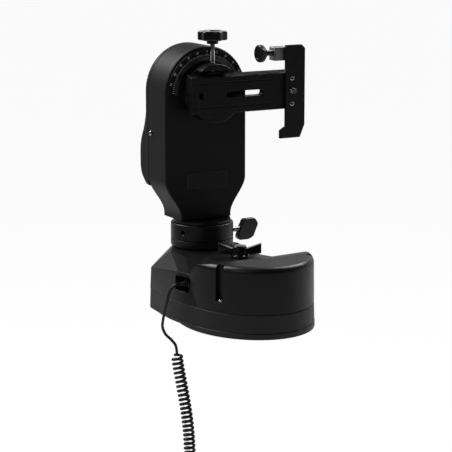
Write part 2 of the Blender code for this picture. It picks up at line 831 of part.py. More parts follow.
def powerSwitch():
    rim = 1 * mm
    frame = box((switchX - switchHalfX, panelFace - panelDepth, panelZ - switchHalfZ),
                (switchX + switchHalfX, panelFace + 1.2 * mm, panelZ + switchHalfZ))
    halfX = switchHalfX - rim
    halfZ = switchHalfZ - rim
    well = box((switchX - halfX, panelFace - 6 * mm, panelZ - halfZ),
               (switchX + halfX, panelFace + 4 * mm, panelZ + halfZ))
    finish(cut(frame, well), "switch_frame", "satin black plastic")
    half = halfX - 0.7 * mm
    outline = [(-half, -1 * mm), (0, -3.5 * mm), (half, -1 * mm), (half, 1.6 * mm), (0, 0.9 * mm),
               (-half, 1.6 * mm)]
    rocker = slab(outline, -halfZ + 0.4 * mm, halfZ - 0.4 * mm)
    rocker.data.transform(Matrix.Translation(rockerPivot) @ Matrix.Rotation(rockerTilt, 4, "Z"))
    finish(rocker, "switch_rocker", "gloss black paint", origin=rockerPivot)


# Neck

def collars():
    centre = (neckX, 0, 0)
    low = blockTop + gap
    seamEdge = 0.4 * mm
    profile = [
        (collarBore, low), (collarRadius - 1.7 * mm, low), (collarRadius, low + 2.2 * mm),
        (collarRadius, collarSeam - seamEdge), (collarRadius - seamEdge, collarSeam),
        (collarBore, collarSeam),
    ]
    finish(turned(profile, centre=centre), "lower_collar", "satin black casting")
    bottom = collarSeam + gap
    rim = 0.8 * mm
    profile = [
        (collarBore, bottom), (collarRadius - seamEdge, bottom), (collarRadius, bottom + seamEdge),
        (collarRadius, collarTop - rim), (collarRadius - rim, collarTop), (collarBore, collarTop),
    ]
    upper = turned(profile, centre=centre)
    wallSpan = (collarBore - 5 * mm, collarRadius + 5 * mm)
    clampHole = rod(neckScrewRadius + gap, *wallSpan, "Y", (neckX, 0, clampScrewZ))
    spareHole = rod(2.2 * mm, *wallSpan)
    spareAngle = math.radians(-65.7)
    turn = Matrix.Rotation(spareAngle, 4, "Z") @ Matrix.Rotation(math.pi / 2, 4, "Y")
    spareHole.data.transform(Matrix.Translation((neckX, 0, collarSeam + 9.2 * mm)) @ turn)
    finish(cut(upper, clampHole, spareHole), "upper_collar", "black anodised aluminium")


def neckClamp():
    centre = (neckX, 0, clampScrewZ)
    start = collarRadius + paddleReach
    origin = (neckX, start, clampScrewZ)
    screw = rod(neckScrewRadius, spigotRadius + gap, start + 10 * mm, "Y", centre, edge=0.4 * mm)
    finish(screw, "collar_clamp_screw", "turned steel", origin=origin)
    corners = ((8, 11), (22, 11), (26, 4.5), (20, -9.5), (14, -12.5), (2, -12.5), (-0.5, -9), (2.5, 0.5))
    outline = [(start + y * mm, clampScrewZ + z * mm) for y, z in corners]
    paddle = slab(outline, neckX - paddleHalf, neckX + paddleHalf, "X")
    bore = rod(neckScrewRadius + gap, start - 4 * mm, start + 11 * mm, "Y", centre)
    finish(cut(paddle, bore), "collar_clamp_paddle", "satin black plastic", origin=origin)


def neckSpigot():
    low = collarTop + gap
    high = low + footFlangeHeight
    flange = footHalfWidth + 0.5 * mm
    foot = blockTop + 1 * mm
    profile = [(cableBore, foot), (spigotRadius, foot), (spigotRadius, low), (flange, low),
               (flange, high), (cableBore, high)]
    tube = turned(profile, centre=(neckX, 0, 0))
    finish(tube, "neck_spigot", "black anodised aluminium")


# Arm

armSeamX = armFront - armDepth
coverBack = armSeamX - coverDepth
bulgeBack = coverBack - bulgeDepth
tiltAxis = (0, 0, tiltHeight)
idlerHeight = tiltHeight - gearModule * (tiltTeeth + idlerTeeth) / 2 - gearSlack
pinionHeight = idlerHeight - gearModule * (idlerTeeth + pinionTeeth) / 2 - gearSlack
coverBottom = pinionHeight - 25.1 * mm
seamScrewX = armSeamX + 6.5 * mm
seamScrewHeight = tiltHeight - 45 * mm
seamScrewRadius = 1.5 * mm


def armFrontHousing():
    def level(inset, x):
        return [(x, y, z) for y, z in armOutline(inset, armBottom)]

    outer = loft([level(0, armSeamX), level(0, armFront - 1.5 * mm), level(0.5 * mm, armFront - 0.5 * mm),
                  level(1.5 * mm, armFront)])
    floor = armBottom + armWall
    cavity = slab(armOutline(armWall, floor, 5, 16), armSeamX + armWall, armFront - armFrontWall, "X")
    mouthOutline = coverOutline(armWall + 0.5 * mm, coverBottom + armWall, 16)
    mouth = slab(mouthOutline, armSeamX - 1 * mm, armSeamX + armWall + 2 * mm, "X")
    bossFront = armFront - armFrontWall
    boss = ring(tiltBearingOuter + gap, tiltBearingOuter + gap + wall,
                bossFront - tiltBearingWidth - gap, bossFront + 1 * mm, "X", tiltAxis)
    cavity = cut(joined(cavity, mouth), boss)
    shaftHole = rod(shaftRadius + 1 * mm, bossFront - 32 * mm, armFront + 10 * mm, "X", tiltAxis)
    cableHole = rod(8 * mm, armBottom - mm, floor + mm, centre=(neckX - 5 * mm, 0, 0))
    screwHoles = []
    for side in (1, -1):
        span = sorted((side * (armHalfWidth - 10 * mm), side * (armHalfWidth + 10 * mm)))
        centre = (seamScrewX, 0, seamScrewHeight)
        screwHoles.append(rod(seamScrewRadius + gap, *span, "Y", centre, screwSteps))
    housing = cut(outer, cavity, shaftHole, cableHole, *screwHoles)
    return finish(housing, "arm_front_housing", "satin black casting")


def bulgePoints(start):
    """Sections along X of the bulge over the motor, from start to its back"""
    sections = (
        (start, armHalfWidth - 1.1 * mm, 2 * mm, 85 * mm),
        (bulgeBack + 9 * mm, armHalfWidth - 2.1 * mm, 3.5 * mm, 59 * mm),
        (bulgeBack, armHalfWidth - 3.1 * mm, 13 * mm, 41 * mm),
    )
    return [(x, side * half, coverBottom + rise)
            for x, half, low, high in sections for side in (1, -1) for rise in (low, high)]


def armRearCover():
    front = armSeamX - gap

    def level(inset, x):
        return [(x, y, z) for y, z in coverOutline(inset, coverBottom)]

    outer = loft([level(0, front), level(0, coverBack + 3 * mm), level(1 * mm, coverBack + 0.9 * mm),
                  level(3 * mm, coverBack)])
    outer = joined(outer, hull(bulgePoints(coverBack + 2 * mm)))
    inner = insideHull(bulgePoints(coverBack + 8 * mm), armWall)
    cavity = slab(coverOutline(armWall, coverBottom + armWall), coverBack + armWall, front + 2 * mm, "X")
    boss = ring(tiltBearingOuter + gap, tiltBearingOuter + gap + wall, coverBack + 1 * mm,
                coverBack + armWall + tiltBearingWidth + gap, "X", tiltAxis)
    cavity = cut(joined(cavity, inner), boss)
    notch = box((coverBack - 1 * mm, -armHalfWidth - 1 * mm, tiltHeight + 14 * mm),
                (coverBack + 6 * mm, -armHalfWidth + 3.2 * mm, tiltHeight + 18 * mm))
    return finish(cut(outer, cavity, notch), "arm_rear_cover", "satin black casting")


def armScrews():
    head = armHalfWidth + gap
    tip = armHalfWidth - 5.6 * mm
    for side, name in ((-1, "arm_seam_screw_left"), (1, "arm_seam_screw_right")):
        profile = [
            (0, tip), (seamScrewRadius, tip + 0.8 * mm), (seamScrewRadius, head), (2.8 * mm, head),
            (2.8 * mm, head + 0.9 * mm), (1.6 * mm, head + 1.8 * mm), (0, head + 1.8 * mm),
        ]
        profile = [(radius, height * side) for radius, height in profile]
        screw = turned(profile, "Y", (seamScrewX, 0, seamScrewHeight), screwSteps)
        finish(screw, name, "chrome")


def armLabel():
    low = armFront + gap
    plate = box((low, -labelHalfWidth, labelLow),
                (low + labelThickness, labelHalfWidth, labelLow + labelHeight))
    finish(plate, "arm_label_plate", "bare label")


def tiltScale():
    steps = 30
    angles = [math.pi * step / steps for step in range(steps + 1)]
    outer = [(scaleOuter * math.cos(angle), scaleOuter * math.sin(angle)) for angle in angles]
    inner = [(scaleInner * math.cos(angle), scaleInner * math.sin(angle)) for angle in angles]
    back = armFront + gap
    scale = slab(outer + list(reversed(inner)), back, back + scaleThickness, "X", tiltAxis)
    finish(scale, "tilt_scale", "scale grey")


def armGear(teeth, firstTooth, height):
    return slab(gearOutline(teeth, firstTooth), gearFront - gearWidth, gearFront, "X", (0, 0, height))


def tiltDrive():
    front = armFront - armFrontWall - gap
    bearing = ring(shaftRadius + gap, tiltBearingOuter, front - tiltBearingWidth + gap, front,
                   "X", tiltAxis, hiddenSteps)
    finish(bearing, "tilt_bearing_front", "turned steel")
    back = coverBack + armWall + gap
    bearing = ring(shaftRadius + gap, tiltBearingOuter, back, back + tiltBearingWidth - gap,
                   "X", tiltAxis, hiddenSteps)
    finish(bearing, "tilt_bearing_rear", "turned steel")
    shaft = rod(shaftRadius, back + 0.9 * mm, hubFront - 2.5 * mm, "X", tiltAxis, hiddenSteps,
                edge=0.5 * mm)
    finish(shaft, "tilt_shaft", "turned steel", origin=(gearFront, 0, tiltHeight))
    gearSpan = (gearFront - gearWidth - mm, gearFront + mm)
    bore = rod(shaftRadius + gap, *gearSpan, "X", tiltAxis, hiddenSteps)
    gear = cut(armGear(tiltTeeth, 0, tiltHeight), bore)
    finish(gear, "tilt_gear", "brass", origin=(gearFront, 0, tiltHeight))
    idlerTooth = matingTooth(tiltTeeth, 0, idlerTeeth, -math.pi / 2)
    bore = rod(idlerPin + gap, *gearSpan, "X", (0, 0, idlerHeight))
    idler = cut(armGear(idlerTeeth, idlerTooth, idlerHeight), bore)
    finish(idler, "tilt_idler_gear", "brass", origin=(gearFront, 0, idlerHeight))
    pinionTooth = matingTooth(idlerTeeth, idlerTooth, pinionTeeth, -math.pi / 2)
    boxFront = armPlateFront - drivePlate - gap
    axis = (0, 0, pinionHeight)
    shaft = rod(driveShaft, boxFront - 3 * mm, gearFront + 1 * mm, "X", axis, screwSteps)
    pinion = joined(armGear(pinionTeeth, pinionTooth, pinionHeight), shaft)
    finish(pinion, "tilt_pinion", "turned steel", origin=(gearFront, 0, pinionHeight))
    boxBack = boxFront - gearboxLength + 1 * mm
    gearbox = rod(gearboxRadius, boxBack, boxFront, "X", axis, hiddenSteps)
    shaftHole = rod(driveShaft + gap, boxFront - 4 * mm, boxFront + mm, "X", axis, screwSteps)
    finish(cut(gearbox, shaftHole), "tilt_gearbox", "brass")
    start = boxBack - gap
    motor = turned(motorProfile(start, start - tiltMotorLength, -1), "X", axis, hiddenSteps)
    finish(motor, "tilt_motor", "zinc motor can")


idlerPin = 3 * mm
motorPlateHalf = 38 * mm


def armMotorPlate():
    half = motorPlateHalf
    low = pinionHeight - 12 * mm
    high = idlerHeight + 20 * mm
    back = armPlateFront - drivePlate
    plate = slab([(-half, low), (half, low), (half, high), (-half, high)], back, armPlateFront, "X")
    inset = 6.5 * mm
    legs = [rod(postRadius, armPlateFront - mm, armFront - armFrontWall - gap, "X",
                (0, side * (half - inset), height), screwSteps)
            for side in (1, -1) for height in (low + inset, high - inset)]
    pin = rod(idlerPin, armPlateFront - mm, gearFront + 1.5 * mm, "X", (0, 0, idlerHeight))
    opening = rod(4.5 * mm, back - mm, armPlateFront + mm, "X", (0, 0, pinionHeight))
    finish(cut(joined(plate, pin, *legs), opening), "tilt_motor_plate", "turned steel")


# What tilts

saddleBack = hubFront + gap
saddleFront = saddleBack + saddleDepth
saddleOrigin = (saddleBack, 0, tiltHeight)
barBack = saddleBack + 2.6 * mm
barFront = barBack + barThickness
padLow = tiltHeight + barHalfBack + gap
clampScrewBottom = padLow + padThickness + gap
knobLow = tiltHeight + knobRise


def tiltHub():
    back = armFront + 0.6 * mm
    rim = 1 * mm
    seat = hubFront - 2 * mm
    profile = [
        (0, seat), (shaftRadius + gap, seat), (shaftRadius + gap, back), (hubRadius - rim, back),
        (hubRadius, back + rim), (hubRadius, hubFront - rim), (hubRadius - rim, hubFront), (0, hubFront),
    ]
    hub = turned(profile, "X", tiltAxis)
    finish(hub, "tilt_hub", "black anodised aluminium", origin=(hubFront, 0, tiltHeight))


def dovetail(extra):
    """Half outline across the bar: back corner, front corner, as X and half height"""
    return (barBack - extra, barHalfBack + extra), (barFront, barHalfFront + extra)


def saddleBody():
    """Round block with a raised upper jaw; the bar's channel and the jaw's room are cut across it"""
    def level(inset, x):
        points = []
        for step in range(showSteps):
            angle = math.tau * (step + 0.5) / showSteps
            rise = jawRise if math.sin(angle) > 0 else 0
            points.append((x, (saddleRadius - inset) * math.cos(angle),
                           tiltHeight + rise + (saddleRadius - inset) * math.sin(angle)))
        return points

    edge = 1 * mm
    body = loft([level(edge, saddleBack), level(0, saddleBack + edge), level(0, saddleFront - edge),
                 level(edge, saddleFront)])
    (backX, backHalf), (frontX, frontHalf) = dovetail(gap)
    slope = (backHalf - frontHalf) / (frontX - backX)
    mouthX = saddleFront + 2 * mm
    mouthHalf = frontHalf - slope * (mouthX - frontX)
    jawZ = tiltHeight + barHalfBack + jawRoom
    outline = [(tiltHeight - backHalf, backX), (jawZ, backX), (jawZ, mouthX),
               (tiltHeight - mouthHalf, mouthX)]
    channel = slab(outline, -saddleRadius - 10 * mm, saddleRadius + 10 * mm, "Y")
    screwHole = rod(clampScrewRadius + gap, jawZ - mm, tiltHeight + saddleRadius + 10 * mm,
                    centre=(clampScrewX, 0, 0))
    finish(cut(body, channel, screwHole), "saddle_body", "black anodised aluminium", origin=saddleOrigin)


def saddleClamp():
    back = barBack + gap
    pad = box((back, -padLength, padLow), (back + padLength, padLength, padLow + padThickness))
    finish(pad, "saddle_pressure_pad", "brass", origin=(clampScrewX, 0, padLow))
    axis = (clampScrewX, 0, 0)
    origin = (clampScrewX, 0, clampScrewBottom)
    screw = rod(clampScrewRadius, clampScrewBottom, knobLow + 6 * mm, centre=axis, edge=0.4 * mm)
    finish(screw, "saddle_clamp_screw", "turned steel", origin=origin)
    outline = []
    lobeSteps = 8
    for step in range(knobLobes * lobeSteps):
        angle = math.tau * step / (knobLobes * lobeSteps)
        radius = knobRadius - knobDip * (1 - math.cos(knobLobes * angle))
        outline.append((radius * math.cos(angle), radius * math.sin(angle)))

    def level(scale, height):
        return [(clampScrewX + x * scale, y * scale, height) for x, y in outline]

    knobTop = knobLow + knobHeight
    head = loft([level(0.93, knobLow), level(1, knobLow + 1.2 * mm), level(1, knobTop - 2 * mm),
                 level(0.9, knobTop)])
    skirt = rod(6.2 * mm, knobLow - knobSkirt, knobLow + mm, centre=axis, steps=hiddenSteps)
    bore = rod(clampScrewRadius + gap, knobLow - knobSkirt - mm, knobLow + 7 * mm, centre=axis)
    finish(cut(joined(head, skirt), bore), "saddle_clamp_knob", "satin black plastic", origin=origin)


def bracketScrewSpots():
    return [(0, cameraScrewY, tiltHeight + side * bracketScrewSpread) for side in (-1, 1)]


def dovetailBar():
    (backX, backHalf), (frontX, frontHalf) = dovetail(0)
    outline = [(tiltHeight - backHalf, backX), (tiltHeight + backHalf, backX),
               (tiltHeight + frontHalf, frontX), (tiltHeight - frontHalf, frontX)]
    bar = slab(outline, barStart, barEnd, "Y")
    through = (backX - mm, frontX + mm)
    boltHole = rod(2.2 * mm, *through, "X", (0, barStart + 12.5 * mm, tiltHeight))
    grooveHalf = 0.8 * mm
    grooves = [box((frontX - 1 * mm, barStart - mm, tiltHeight + z - grooveHalf),
                   (frontX + 1 * mm, cameraScrewY - 22 * mm, tiltHeight + z + grooveHalf))
               for z in (-13 * mm, 13 * mm)]
    slotHalf = 3.3 * mm
    slot = box((through[0], barStart + 42 * mm, tiltHeight - slotHalf),
               (through[1], cameraScrewY - 32 * mm, tiltHeight + slotHalf))
    screwHole = rod(cameraScrewRadius + gap, *through, "X", (0, cameraScrewY, tiltHeight), hiddenSteps)
    screwHoles = [rod(bracketScrewRadius + gap, frontX - 8 * mm, frontX + mm, "X", spot, screwSteps)
                  for spot in bracketScrewSpots()]
    bar = cut(bar, boltHole, slot, screwHole, *grooves, *screwHoles)
    finish(bar, "dovetail_bar", "black anodised aluminium", origin=saddleOrigin)


plateBack = barFront + gap
plateFront = plateBack + plateThickness
blockLow = 33 * mm
blockHigh = 48 * mm
blockDepth = 13 * mm
thumbAxisX = plateBack - 5.8 * mm
thumbHeight = tiltHeight + 41.5 * mm
thumbShaft = 3 * mm
thumbDisc = 9.6 * mm


def bracketPlate():
    top = tiltHeight + plateTop
    bottom = tiltHeight + plateBottom
    left = cameraScrewY - 8 * mm
    right = cameraScrewY + 16 * mm
    toe = cameraScrewY - 15 * mm
    corner = 4 * mm
    outline = [
        (left, top), (right - corner, top), (right, top - corner), (right, bottom + 14 * mm),
        (right - 6 * mm, bottom), (toe, bottom), (toe, bottom + 9 * mm), (left, bottom + 13 * mm),
    ]
    plate = slab(outline, plateBack, plateFront, "X")
    through = (plateBack - mm, plateFront + mm)
    hole = rod(cameraScrewRadius + gap, *through, "X", (0, cameraScrewY, tiltHeight), hiddenSteps)
    holes = [rod(bracketScrewRadius + gap, *through, "X", spot, screwSteps)
             for spot in bracketScrewSpots()]
    sunk = (plateFront - bracketScrewSink, plateFront + mm)
    holes += [rod(bracketScrewHead + gap, *sunk, "X", spot) for spot in bracketScrewSpots()]
    finish(cut(plate, hole, *holes), "bracket_plate", "satin black casting", origin=saddleOrigin)


def bracketScrews():
    head = plateFront - bracketScrewSink + gap
    top = plateFront - gap
    tip = barFront - 7 * mm
    profile = [
        (0, tip), (bracketScrewRadius, tip + 0.6 * mm), (bracketScrewRadius, head),
        (bracketScrewHead, head), (bracketScrewHead, top - 0.5 * mm),
        (bracketScrewHead - 0.5 * mm, top), (0, top),
    ]
    for spot, name in zip(bracketScrewSpots(), ("bracket_screw_lower", "bracket_screw_upper")):
        finish(turned(profile, "X", spot, screwSteps), name, "chrome", origin=saddleOrigin)


def clampBlock():
    centre = (thumbAxisX, 0, thumbHeight)
    start = cameraScrewY - 20 * mm
    block = box((plateBack - blockDepth, start, tiltHeight + blockLow),
                (plateBack - gap, cameraScrewY - 4 * mm, tiltHeight + blockHigh))
    bore = rod(thumbShaft + gap, start - mm, start + 12 * mm, "Y", centre)
    finish(cut(block, bore), "bracket_clamp_block", "light aluminium", origin=saddleOrigin)
    disc = start - 18 * mm
    rim = 1 * mm
    neck = 5.5 * mm
    profile = [
        (0, disc), (thumbDisc - rim, disc), (thumbDisc, disc + rim), (thumbDisc, disc + 5 * mm),
        (thumbDisc - 0.8 * mm, disc + 6 * mm), (neck, disc + 6.5 * mm), (neck, disc + 9 * mm),
        (thumbShaft, disc + 9.4 * mm), (thumbShaft, start + 11.5 * mm), (0, start + 11.5 * mm),
    ]
    knob = turned(profile, "Y", centre, hiddenSteps)
    origin = (thumbAxisX, start - 6 * mm, thumbHeight)
    finish(knob, "bracket_thumb_screw", "gloss black paint", origin=origin)


def cameraScrewPieces():
    axis = (0, cameraScrewY, tiltHeight)
    knobBack = barBack - gap
    knob = rod(9 * mm, knobBack - 5.5 * mm, knobBack, "X", axis, hiddenSteps, edge=0.8 * mm)
    stud = rod(cameraScrewRadius, barBack - mm, plateFront + 5.5 * mm, "X", axis, hiddenSteps,
               edge=0.5 * mm)
    finish(joined(knob, stud), "camera_screw", "turned steel", origin=axis)


# Cord

leadRoute = (
    (3 * mm, -73.3 * mm, 47.5 * mm), (2.8 * mm, -78 * mm, 47.2 * mm), (1.5 * mm, -82 * mm, 44.5 * mm),
    (-0.5 * mm, -84.5 * mm, 38 * mm), (-2.5 * mm, -86.2 * mm, 29 * mm), (-5 * mm, -87.5 * mm, 19 * mm),
    (-8 * mm, -88 * mm, 9 * mm), (-10.5 * mm, -87.5 * mm, 0 * mm), (-9.5 * mm, -84.5 * mm, -8 * mm),
    (-5.5 * mm, -80 * mm, -13.5 * mm), (-2.5 * mm, -76.5 * mm, -19 * mm), (-2.5 * mm, -75 * mm, -25 * mm),
)
coilRoute = (
    (-2.5 * mm, -75 * mm, -25.3 * mm), (-1.5 * mm, -74 * mm, -40 * mm), (2 * mm, -71 * mm, -65 * mm),
    (5 * mm, -68 * mm, -90 * mm), (7 * mm, -66 * mm, -115 * mm), (8 * mm, -65 * mm, -150 * mm),
    (8 * mm, -65 * mm, -190 * mm), (8 * mm, -65 * mm, -236 * mm),
)


def smoothPoint(points, position):
    """Catmull-Rom curve through the points; position counts in points"""
    index = min(int(position), len(points) - 2)
    share = position - index
    before = points[max(index - 1, 0)]
    after = points[min(index + 2, len(points) - 1)]
    first, second = points[index], points[index + 1]
    square = 2 * before - 5 * first + 4 * second - after
    cube = 3 * first - before - 3 * second + after
    return 0.5 * (2 * first + (second - before) * share + square * share ** 2 + cube * share ** 3)


def smoothPath(route, spacing):
    """Points at an even spacing along the smooth curve through the route"""
    points = [Vector(point) for point in route]
    fine = [smoothPoint(points, step / 40) for step in range(40 * (len(points) - 1) + 1)]
    lengths = [0.0]
    for first, second in zip(fine, fine[1:]):
        lengths.append(lengths[-1] + (second - first).length)
    count = max(round(lengths[-1] / spacing), 2)
    path = []
    place = 0
    for step in range(count + 1):
        target = lengths[-1] * step / count
        while place < len(fine) - 2 and lengths[place + 1] < target:
            place += 1
        share = (target - lengths[place]) / (lengths[place + 1] - lengths[place])
        path.append(fine[place].lerp(fine[place + 1], min(max(share, 0), 1)))
    return path


def coilPath():
    """Helix round the smooth curve through the coil's route, straight for a diameter at each end"""
    middle = smoothPath(coilRoute, curlPitch / 40)
    radius = (curlOuter - cordDiameter) / 2
    straight = cordDiameter
    down = (middle[1] - middle[0]).normalized()
    last = (middle[-1] - middle[-2]).normalized()
    side = down.cross(Vector((0, 1, 0))).normalized()
    points = [middle[0], middle[0] + down * straight]
    total = curlCount * curlPoints
    for step in range(1, total):
        share = step / total
        spot = share * (len(middle) - 1)
        index = min(int(spot), len(middle) - 2)
        centre = middle[index].lerp(middle[index + 1], spot - index)
        tangent = (middle[index + 1] - middle[index]).normalized()
        side = (side - tangent * side.dot(tangent)).normalized()
        other = tangent.cross(side)
        grow = smoothStep(step / curlPoints / 0.8) * smoothStep((total - step) / curlPoints / 0.8)
        angle = math.tau * step / curlPoints
        centre = centre + tangent * straight * (1 - 2 * share)
        points.append(centre + (side * math.cos(angle) + other * math.sin(angle)) * radius * grow)
    points += [middle[-1] - last * straight, middle[-1]]
    return points


def leastGap(points, diameter):
    """Least gap of a tube to itself, leaving out the neighbours along it"""
    reach = 3 * curlPoints // 4
    least = 1.0
    for first in range(len(points)):
        for second in range(first + reach, min(first + 4 * curlPoints, len(points))):
            least = min(least, (points[first] - points[second]).length)
    return least - diameter


def tubeCurve(name, points, diameter, resolution, finishName):
    data = bpy.data.curves.new(name, "CURVE")
    data.dimensions = "3D"
    data.bevel_depth = diameter / 2
    data.bevel_resolution = resolution
    data.use_fill_caps = True
    spline = data.splines.new("POLY")
    spline.points.add(len(points) - 1)
    for target, point in zip(spline.points, points):
        target.co = (*point, 1)
    data.materials.append(addMaterial(finishName))
    tube = bpy.data.objects.new(name, data)
    bpy.context.scene.collection.objects.link(tube)
    return tube


bootTop = 2.8 * mm
bootEnd = 2 * mm
plugEnd = 7.5 * mm


def plugPieces():
    wallFace = -(pocketFloor - socketWall)
    front = wallFace - plugEnd
    plug = box((portX - plugHalfX, front, portZ - plugHalfZ),
               (portX + plugHalfX, wallFace + plugEnd, portZ + plugHalfZ))
    finish(plug, "cord_plug", "satin black plastic")
    face = front - gap
    tip = leadRoute[0][1] + gap
    profile = [(0, face), (bootTop, face), (bootTop, face - 1.7 * mm), (bootEnd, tip), (0, tip)]
    finish(turned(profile, "Y", (portX, 0, portZ), smallSteps), "cord_plug_boot", "black rubber")


def farPlug():
    end = Vector(coilRoute[-1])
    top = end.z - gap
    centre = (end.x, end.y, 0)
    bootLength = 9 * mm
    foot = top - bootLength
    profile = [(0, top), (bootEnd + gap, top), (3.4 * mm, foot), (0, foot)]
    finish(turned(profile, "Z", centre, smallSteps), "far_plug_boot", "black rubber")
    high = foot - gap
    plug = box((end.x - plugHalfX, end.y - plugHalfZ, high - 20 * mm),
               (end.x + plugHalfX, end.y + plugHalfZ, high))
    finish(plug, "far_plug", "satin black plastic")


def pathLength(points):
    return sum((second - first).length for first, second in zip(points, points[1:]))


def cord():
    lead = smoothPath(leadRoute, 2 * cordDiameter)
    tubeCurve("cord_lead", lead, cordDiameter, 2, "black rubber")
    coil = coilPath()
    print("curly cord: least gap to itself", round(leastGap(coil, cordDiameter) / mm, 2), "mm")
    print("cord length", round(pathLength(lead) + pathLength(coil), 3), "m")
    tubeCurve("curly_cord", coil, cordDiameter, 1, "black rubber")


clearScene()
turntablePlate()
azimuthRingGear()
clutchPieces()
clutchKnob()
baseTray()
baseFeet()
baseLowerShell()
baseUpperShell()
caseScrews()
azimuthDrive()
controlBoard()
sockets()
powerSwitch()
collars()
neckClamp()
neckSpigot()
armFrontHousing()
armRearCover()
armScrews()
armLabel()
tiltScale()
tiltDrive()
armMotorPlate()
tiltHub()
saddleBody()
saddleClamp()
dovetailBar()
bracketPlate()
bracketScrews()
clampBlock()
cameraScrewPieces()
plugPieces()
cord()
farPlug()
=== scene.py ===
import math

import bmesh
import bpy
from mathutils import Matrix, Vector


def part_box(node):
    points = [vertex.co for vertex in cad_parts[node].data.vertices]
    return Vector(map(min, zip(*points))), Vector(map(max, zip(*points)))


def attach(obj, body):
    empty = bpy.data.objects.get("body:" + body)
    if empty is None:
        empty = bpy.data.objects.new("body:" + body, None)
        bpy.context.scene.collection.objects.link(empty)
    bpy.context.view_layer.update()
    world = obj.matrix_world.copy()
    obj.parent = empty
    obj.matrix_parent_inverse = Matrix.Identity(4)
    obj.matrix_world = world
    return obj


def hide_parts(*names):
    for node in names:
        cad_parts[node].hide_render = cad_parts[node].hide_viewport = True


# Motorised camera head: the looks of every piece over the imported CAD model

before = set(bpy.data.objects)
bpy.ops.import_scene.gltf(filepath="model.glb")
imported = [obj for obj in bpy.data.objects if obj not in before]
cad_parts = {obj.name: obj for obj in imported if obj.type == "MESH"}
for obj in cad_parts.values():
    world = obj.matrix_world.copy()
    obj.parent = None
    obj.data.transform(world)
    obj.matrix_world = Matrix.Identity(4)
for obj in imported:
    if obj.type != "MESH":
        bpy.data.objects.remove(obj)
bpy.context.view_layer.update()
mm = 0.001
gap = 0.3 * mm
print("frame loaded:", len(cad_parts), "nodes")


# Camera, light and floor

cameraLook = {
    "spot": (1.6326, -0.9217, 0.4801),
    "heading": 29,  # degrees from -X towards +Y
    "down": 11.4,
    "lens": 143.36,
    "sensor": 36,
}


def addCamera():
    data = bpy.data.cameras.new("camera")
    data.lens = cameraLook["lens"]
    data.sensor_width = cameraLook["sensor"]
    data.clip_end = 100
    camera = bpy.data.objects.new("camera", data)
    bpy.context.scene.collection.objects.link(camera)
    heading = math.radians(cameraLook["heading"])
    down = math.radians(cameraLook["down"])
    forward = Vector((-math.cos(heading) * math.cos(down), math.sin(heading) * math.cos(down),
                      -math.sin(down)))
    camera.location = cameraLook["spot"]
    camera.rotation_euler = forward.to_track_quat("-Z", "Y").to_euler()
    bpy.context.scene.camera = camera


def linear(hexColour):
    shares = [int(hexColour[start:start + 2], 16) / 255 for start in (1, 3, 5)]
    return [share / 12.92 if share <= 0.04045 else ((share + 0.055) / 1.055) ** 2.4
            for share in shares] + [1.0]


def addNode(tree, kind, settings=None, links=None):
    node = tree.nodes.new(kind)
    for key, value in (settings or {}).items():
        if isinstance(key, int) or key in node.inputs:
            node.inputs[key].default_value = value
        else:
            setattr(node, key, value)
    for key, socket in (links or {}).items():
        tree.links.new(socket, node.inputs[key])
    return node


studioLook = {
    "floorHeight": -0.2667,
    "floorSize": 60,
    "floorPaint": "#f2f2f2",
    "white": 0.955,  # what the camera sees behind the object
    "floorLift": 0.94,  # share of the floor's white that no shadow reaches
    "fill": 0.3,  # what lights the object from all round
    "bright": 0.6,  # the backdrop, as gloss shows it
    "dark": 0.02,  # the unlit side of the studio, behind the camera
    "backdrop": (-0.68, 0.73, 0.0),  # direction of the backdrop's middle
    "backdropTop": (0.36, 0.16),  # how high the backdrop reaches, from dark to bright
    # metres behind the object where the floor turns from dark to bright, as gloss shows it
    "floorBack": (-0.4, 1.4), "floorBright": 0.3,
    # light that lies round the object's foot: its edge, its middle and how bright
    "pool": (2.7, 1.1, 0.34),
}


